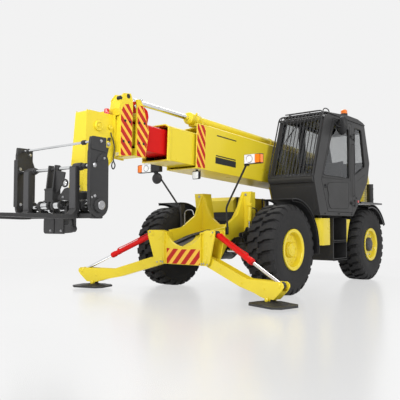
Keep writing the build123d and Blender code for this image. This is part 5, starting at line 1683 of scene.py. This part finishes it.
def makeMudguards():
    spans = {"front": (84, 187, 0.0), "rear": (76, 150, -wheelBase)}
    for place, (start, end, x) in spans.items():
        for word, side in flanks.items():
            bodyName = f"{place}_{word}_steer"
            runs = []
            for y in (side * 1.246, side * 0.782):
                runs.append([at(x + 0.697 * math.cos(a), y, hubZ + 0.697 * math.sin(a))
                    for a in (math.radians(start + (end - start) * k / 12) for k in range(13))])
            layPipes(f"{place}_mudguard_bead_{word}", bodyName, "blackPlastic", 0.0085, runs)
            lip = 0.64 if place == "rear" else 0.664
            bm = bmesh.new()
            angles = [math.radians(start + (end - start) * k / 16) for k in range(17)]
            band = [(x + r * math.cos(a), hubZ + r * math.sin(a)) for r, way in ((0.7035, angles),
                (lip, angles[::-1])) for a in way]
            addPlate(bm, band, sideView(side), 1.238, 1.25)
            makePiece(bm, f"{place}_mudguard_lip_{word}", bodyName, "greyPaint", ease=0.003)
            bm = bmesh.new()
            for k in (0.32, 0.62):  # ribs across the guard
                a = math.radians(start + (end - start) * k)
                spot = at(x + 0.706 * math.cos(a), side * 1.015, hubZ + 0.706 * math.sin(a))
                out = Vector((math.cos(a), 0, math.sin(a)))
                along = Vector((-math.sin(a), 0, math.cos(a)))
                local = lambda u, v, w: spot + along * u + Vector((0, v, 0)) + out * w
                addBox(bm, (-0.012, -0.225, -0.003), (0.012, 0.225, 0.006), local)
            for z in (-0.15, 0.138):  # kingpin caps
                addLathe(bm, at(x, side * 0.7, hubZ + z), (0, 0, 1), solid((0.072, 0.008),
                    (0.06, 0.012)), 28)
            makePiece(bm, f"{place}_knuckle_trim_{word}", bodyName, "darkPaint", ease=0.001)


def makeAxles():
    for place, x in (("front", 0.0), ("rear", -wheelBase)):
        bm = bmesh.new()
        for side in (1, -1):
            face = at(x + side * 0.165, 0, hubZ)
            addLathe(bm, face, (side, 0, 0), [(0.168, -0.02), (0.182, -0.014), (0.182, 0.004),
                (0.168, 0.008), (0.12, 0.014), (0.1, 0.04), (0.072, 0.052), (0, 0.052)], 36)
            for c, s in around(10):
                spot = at(x + side * 0.169, 0.17 * c, hubZ + 0.17 * s)
                addBolt(bm, spot, (side, 0, 0), 0.008, washer=False)
            for y in (0.215, 0.48):  # rings along the axle's arms
                addLathe(bm, at(x, side * y, hubZ), (0, side, 0), collar(0.088, 0.104, 0.004,
                    0.026, 0.03), 32)
        makePiece(bm, f"{place}_axle_castings", "base", "castIron", ease=0.0015)
        # steering cylinder across the axle, ahead of it at the front and behind at the rear
        way = 1 if place == "front" else -1
        px = x + way * 0.205
        bm = bmesh.new()
        addRod(bm, at(px, -0.23, hubZ - 0.03), at(px, 0.23, hubZ - 0.03), 0.04, 28)
        for y in (-0.236, 0.206):
            addRod(bm, at(px, y, hubZ - 0.03), at(px, y + 0.03, hubZ - 0.03), 0.048, 28)
        for y in (-0.15, 0.15):
            addBox(bm, (px - 0.03 - 0.03 * way, y - 0.014, hubZ - 0.06),
                (px + 0.03 - 0.03 * way, y + 0.014, hubZ + 0.0))
        makePiece(bm, f"{place}_steering_barrel", "base", "darkPaint", ease=0.0015)
        bm = bmesh.new()
        for side in (1, -1):
            addRod(bm, at(px, side * 0.236, hubZ - 0.03), at(px, side * 0.43, hubZ - 0.03), 0.02,
                24)
        makePiece(bm, f"{place}_steering_rods", "base", "chrome", ease=0.0006)
        layPipes(f"{place}_axle_hoses", "base", "hosing", 0.009, [[at(px, y, hubZ + 0.008),
            at(px + 0.01 * way, y, hubZ + 0.07), at(x + 0.1 * way, y * 0.8, hubZ + 0.185),
            at(x, y * 1.3, hubZ + 0.205)] for y in (0.12, -0.12)])
    bm = bmesh.new()  # prop-shaft joints
    for x in (-0.235, -0.56, -1.09, -1.56, -2.05, -2.52):
        addLathe(bm, at(x, 0, 0.612), (1, 0, 0), [(0.042, -0.03), (0.062, -0.024), (0.062, 0.024),
            (0.042, 0.03)], 24)
    makePiece(bm, "shaft_joints", "base", "castIron", ease=0.0012)


def makeTail():
    bm = bmesh.new()
    back = lambda u, v, w: at(-3.74 - w, u, v)
    for side in (1, -1):
        addPlate(bm, rounded(oblong(side * 0.18, 0.68, side * 0.82, 1.12), 0.04), back, 0.0, 0.008)
        for y, z in ((0.24, 0.73), (0.76, 0.73), (0.24, 1.07), (0.76, 1.07)):
            addBolt(bm, back(side * y, z, 0.008), (-1, 0, 0), 0.014)
    makePiece(bm, "weight_pressings", "base", "darkPaint", ease=0.002)
    for word, side in flanks.items():
        for kind, y, r, lens in (("lamp", 0.64, 0.062, "redLens"),
                ("flasher", 0.47, 0.05, "amberLens")):
            bm = bmesh.new()
            addLathe(bm, back(side * y, 0.9, 0.008), (-1, 0, 0), [(0, 0), (r - 0.004, 0),
                (r, 0.004), (r, 0.014), (r - (0.012 if kind == "lamp" else 0.01), 0.019),
                (0, 0.0195)], 32)
            makePiece(bm, f"tail_{kind}_{word}", "base", lens, ease=0)
    bm = bmesh.new()  # plate between the lamps stays blank
    addPlate(bm, rounded(oblong(0.16, 0.94, 0.4, 1.05), 0.01), back, 0.008, 0.011)
    makePiece(bm, "blank_plate", "base", "yellowPaint", ease=0.0006)
    bm = bmesh.new()  # drop pin of the tow hitch
    addRod(bm, at(-3.735, 0, 0.69), at(-3.735, 0, 0.86), 0.0155, 24)
    addLathe(bm, at(-3.735, 0, 0.86), (0, 0, 1), solid((0.028, 0.01), (0.012, 0.016)), 24)
    makePiece(bm, "hitch_pin", "base", "steel", ease=0.0008)
    bm = bmesh.new()  # pivot caps of the boom and the lift foot on the tower
    for side in (1, -1):
        for x, z, r in ((-3.3, 1.82, 0.085), (-3.2, 0.85, 0.07)):
            addLathe(bm, at(x, side * 0.3455, z), (0, side, 0), solid((r, 0.012),
                (r - 0.012, 0.018), (0.03, 0.018), (0.026, 0.012)), 36)
            for c, s in around(4, 0.5):
                addBolt(bm, at(x + (r - 0.024) * c, side * 0.363, z + (r - 0.024) * s),
                    (0, side, 0), 0.007, washer=False)
    makePiece(bm, "tower_pin_caps", "base", "darkPaint", ease=0.001)
    bm = bmesh.new()  # stack's top and clamp
    addLathe(bm, at(-3.19, 1.045, 1.69), (0, 0, 1), [(0.046, 0.018), (0.06, 0.018), (0.062, 0.024),
        (0.06, 0.028), (0.046, 0.028)], 32, closed=True)
    for z in (1.43, 1.62):
        addLathe(bm, at(-3.19, 1.045, z), (0, 0, 1), collar(0.058, 0.063, 0.002, 0.02, 0.022), 32)
    makePiece(bm, "stack_bands", "base", "darkPaint", ease=0.0006)
    bm = bmesh.new()
    side = lambda u, v, w: at(u, 0.95 + w, v)
    slats(bm, side, (-3.38, -2.98), 1.48, 8, 0.036, 0.009, 0.022)
    rear = lambda u, v, w: at(-3.4 - w, u, v)
    slats(bm, rear, (0.5, 0.9), 1.48, 8, 0.036, 0.009, 0.022)
    makePiece(bm, "rear_body_louvres", "base", "yellowPaint", ease=0.0012)


darkenBelow(frame["nodes"]["rear_body"], "deckBlackYellow", 1.378)
makeHood()
makeTank()
makeMudguards()
makeAxles()
makeTail()
print("body dressed")


# floor, world, lamps and camera
studio = dict(paper=0.888, floorSize=60.0, fadeFrom=5.0, fadeTo=10.0, gloss=0.26, blur=0.24,
    litShare=0.1, skyLight=0.5)
lamps = [
    # name, place, aimed at, width, height, watts
    ("keySoftbox", (9.5, 1.5, 7.0), (0.0, 0.0, 1.2), 6.0, 5.0, 900),
    ("sideSoftbox", (1.0, 10.5, 5.5), (0.0, 0.0, 1.2), 7.0, 4.0, 520),
    ("backSoftbox", (-4.5, -3.5, 9.5), (0.0, 0.0, 1.2), 6.0, 5.0, 420),
]
view = dict(place=(6.293, 4.843, 0.953), heading=38.91, pitch=2.735, lens=48.4)


def seenDirectly(tree):  # rays that reach the lens, past glass and off bright metal too
    path = node(tree, "LightPath").outputs
    first = maths(tree, "ADD", path["Is Camera Ray"], path["Is Glossy Ray"], use_clamp=True)
    return maths(tree, "ADD", first, path["Is Transmission Ray"], use_clamp=True)


def makeFloor():
    bpy.ops.mesh.primitive_grid_add(size=studio["floorSize"], x_subdivisions=4, y_subdivisions=4)
    floor = bpy.context.object
    floor.name = "studioFloor"
    mat, tree, out = nodesOf("studioPaper")
    lit = node(tree, "BsdfDiffuse", {"Color": (0.8, 0.8, 0.8, 1)}).outputs[0]
    plain = node(tree, "Emission", {"Color": (studio["paper"],) * 3 + (1,)}).outputs[0]
    shine = node(tree, "BsdfGlossy", {"Color": (1, 1, 1, 1), "Roughness": studio["blur"]})
    # lit paper near the machine fades into plain paper, so no horizon shows
    away = node(tree, "VectorMath", {0: node(tree, "TexCoord").outputs["Object"]},
        operation="LENGTH")
    near = spread(tree, away.outputs["Value"], 1.0, 0.0, studio["fadeFrom"], studio["fadeTo"])
    base = mixed(tree, maths(tree, "MULTIPLY", near, studio["litShare"]), plain, lit)
    seen = mixed(tree, maths(tree, "MULTIPLY", near, studio["gloss"]), base, shine.outputs[0])
    tree.links.new(mixed(tree, seenDirectly(tree), lit, seen), out.inputs[0])
    floor.data.materials.append(mat)


def makeWorld():
    world = bpy.data.worlds.new("studioSky")
    scene.world = world
    world.use_nodes = True
    tree = world.node_tree
    tree.nodes.clear()
    out = tree.nodes.new("ShaderNodeOutputWorld")
    glow = node(tree, "Background", {"Color": (1, 1, 1, 1), "Strength": studio["skyLight"]})
    paper = node(tree, "Background", {"Color": (studio["paper"],) * 3 + (1,)})
    sky = mixed(tree, seenDirectly(tree), glow.outputs[0], paper.outputs[0])
    tree.links.new(sky, out.inputs[0])


def makeSoftboxes():
    for name, place, target, width, height, watts in lamps:
        data = bpy.data.lights.new(name, "AREA")
        data.shape = "RECTANGLE"
        data.size, data.size_y = width, height
        data.energy = watts
        lamp = bpy.data.objects.new(name, data)
        scene.collection.objects.link(lamp)
        lamp.location = place
        lamp.rotation_euler = (Vector(target) - Vector(place)).to_track_quat("-Z", "Y").to_euler()


def makeCamera():
    data = bpy.data.cameras.new("viewer")
    data.lens, data.sensor_width = view["lens"], 36.0
    data.clip_end = 200
    camera = bpy.data.objects.new("viewer", data)
    scene.collection.objects.link(camera)
    camera.location = view["place"]
    yaw, pitch = math.radians(view["heading"]), math.radians(view["pitch"])
    ahead = Vector((-math.cos(yaw) * math.cos(pitch), -math.sin(yaw) * math.cos(pitch),
        math.sin(pitch)))
    camera.rotation_euler = ahead.to_track_quat("-Z", "Y").to_euler()
    scene.camera = camera


makeFloor()
makeWorld()
makeSoftboxes()
makeCamera()
scene.view_settings.view_transform = "Standard"
print("studio ready")
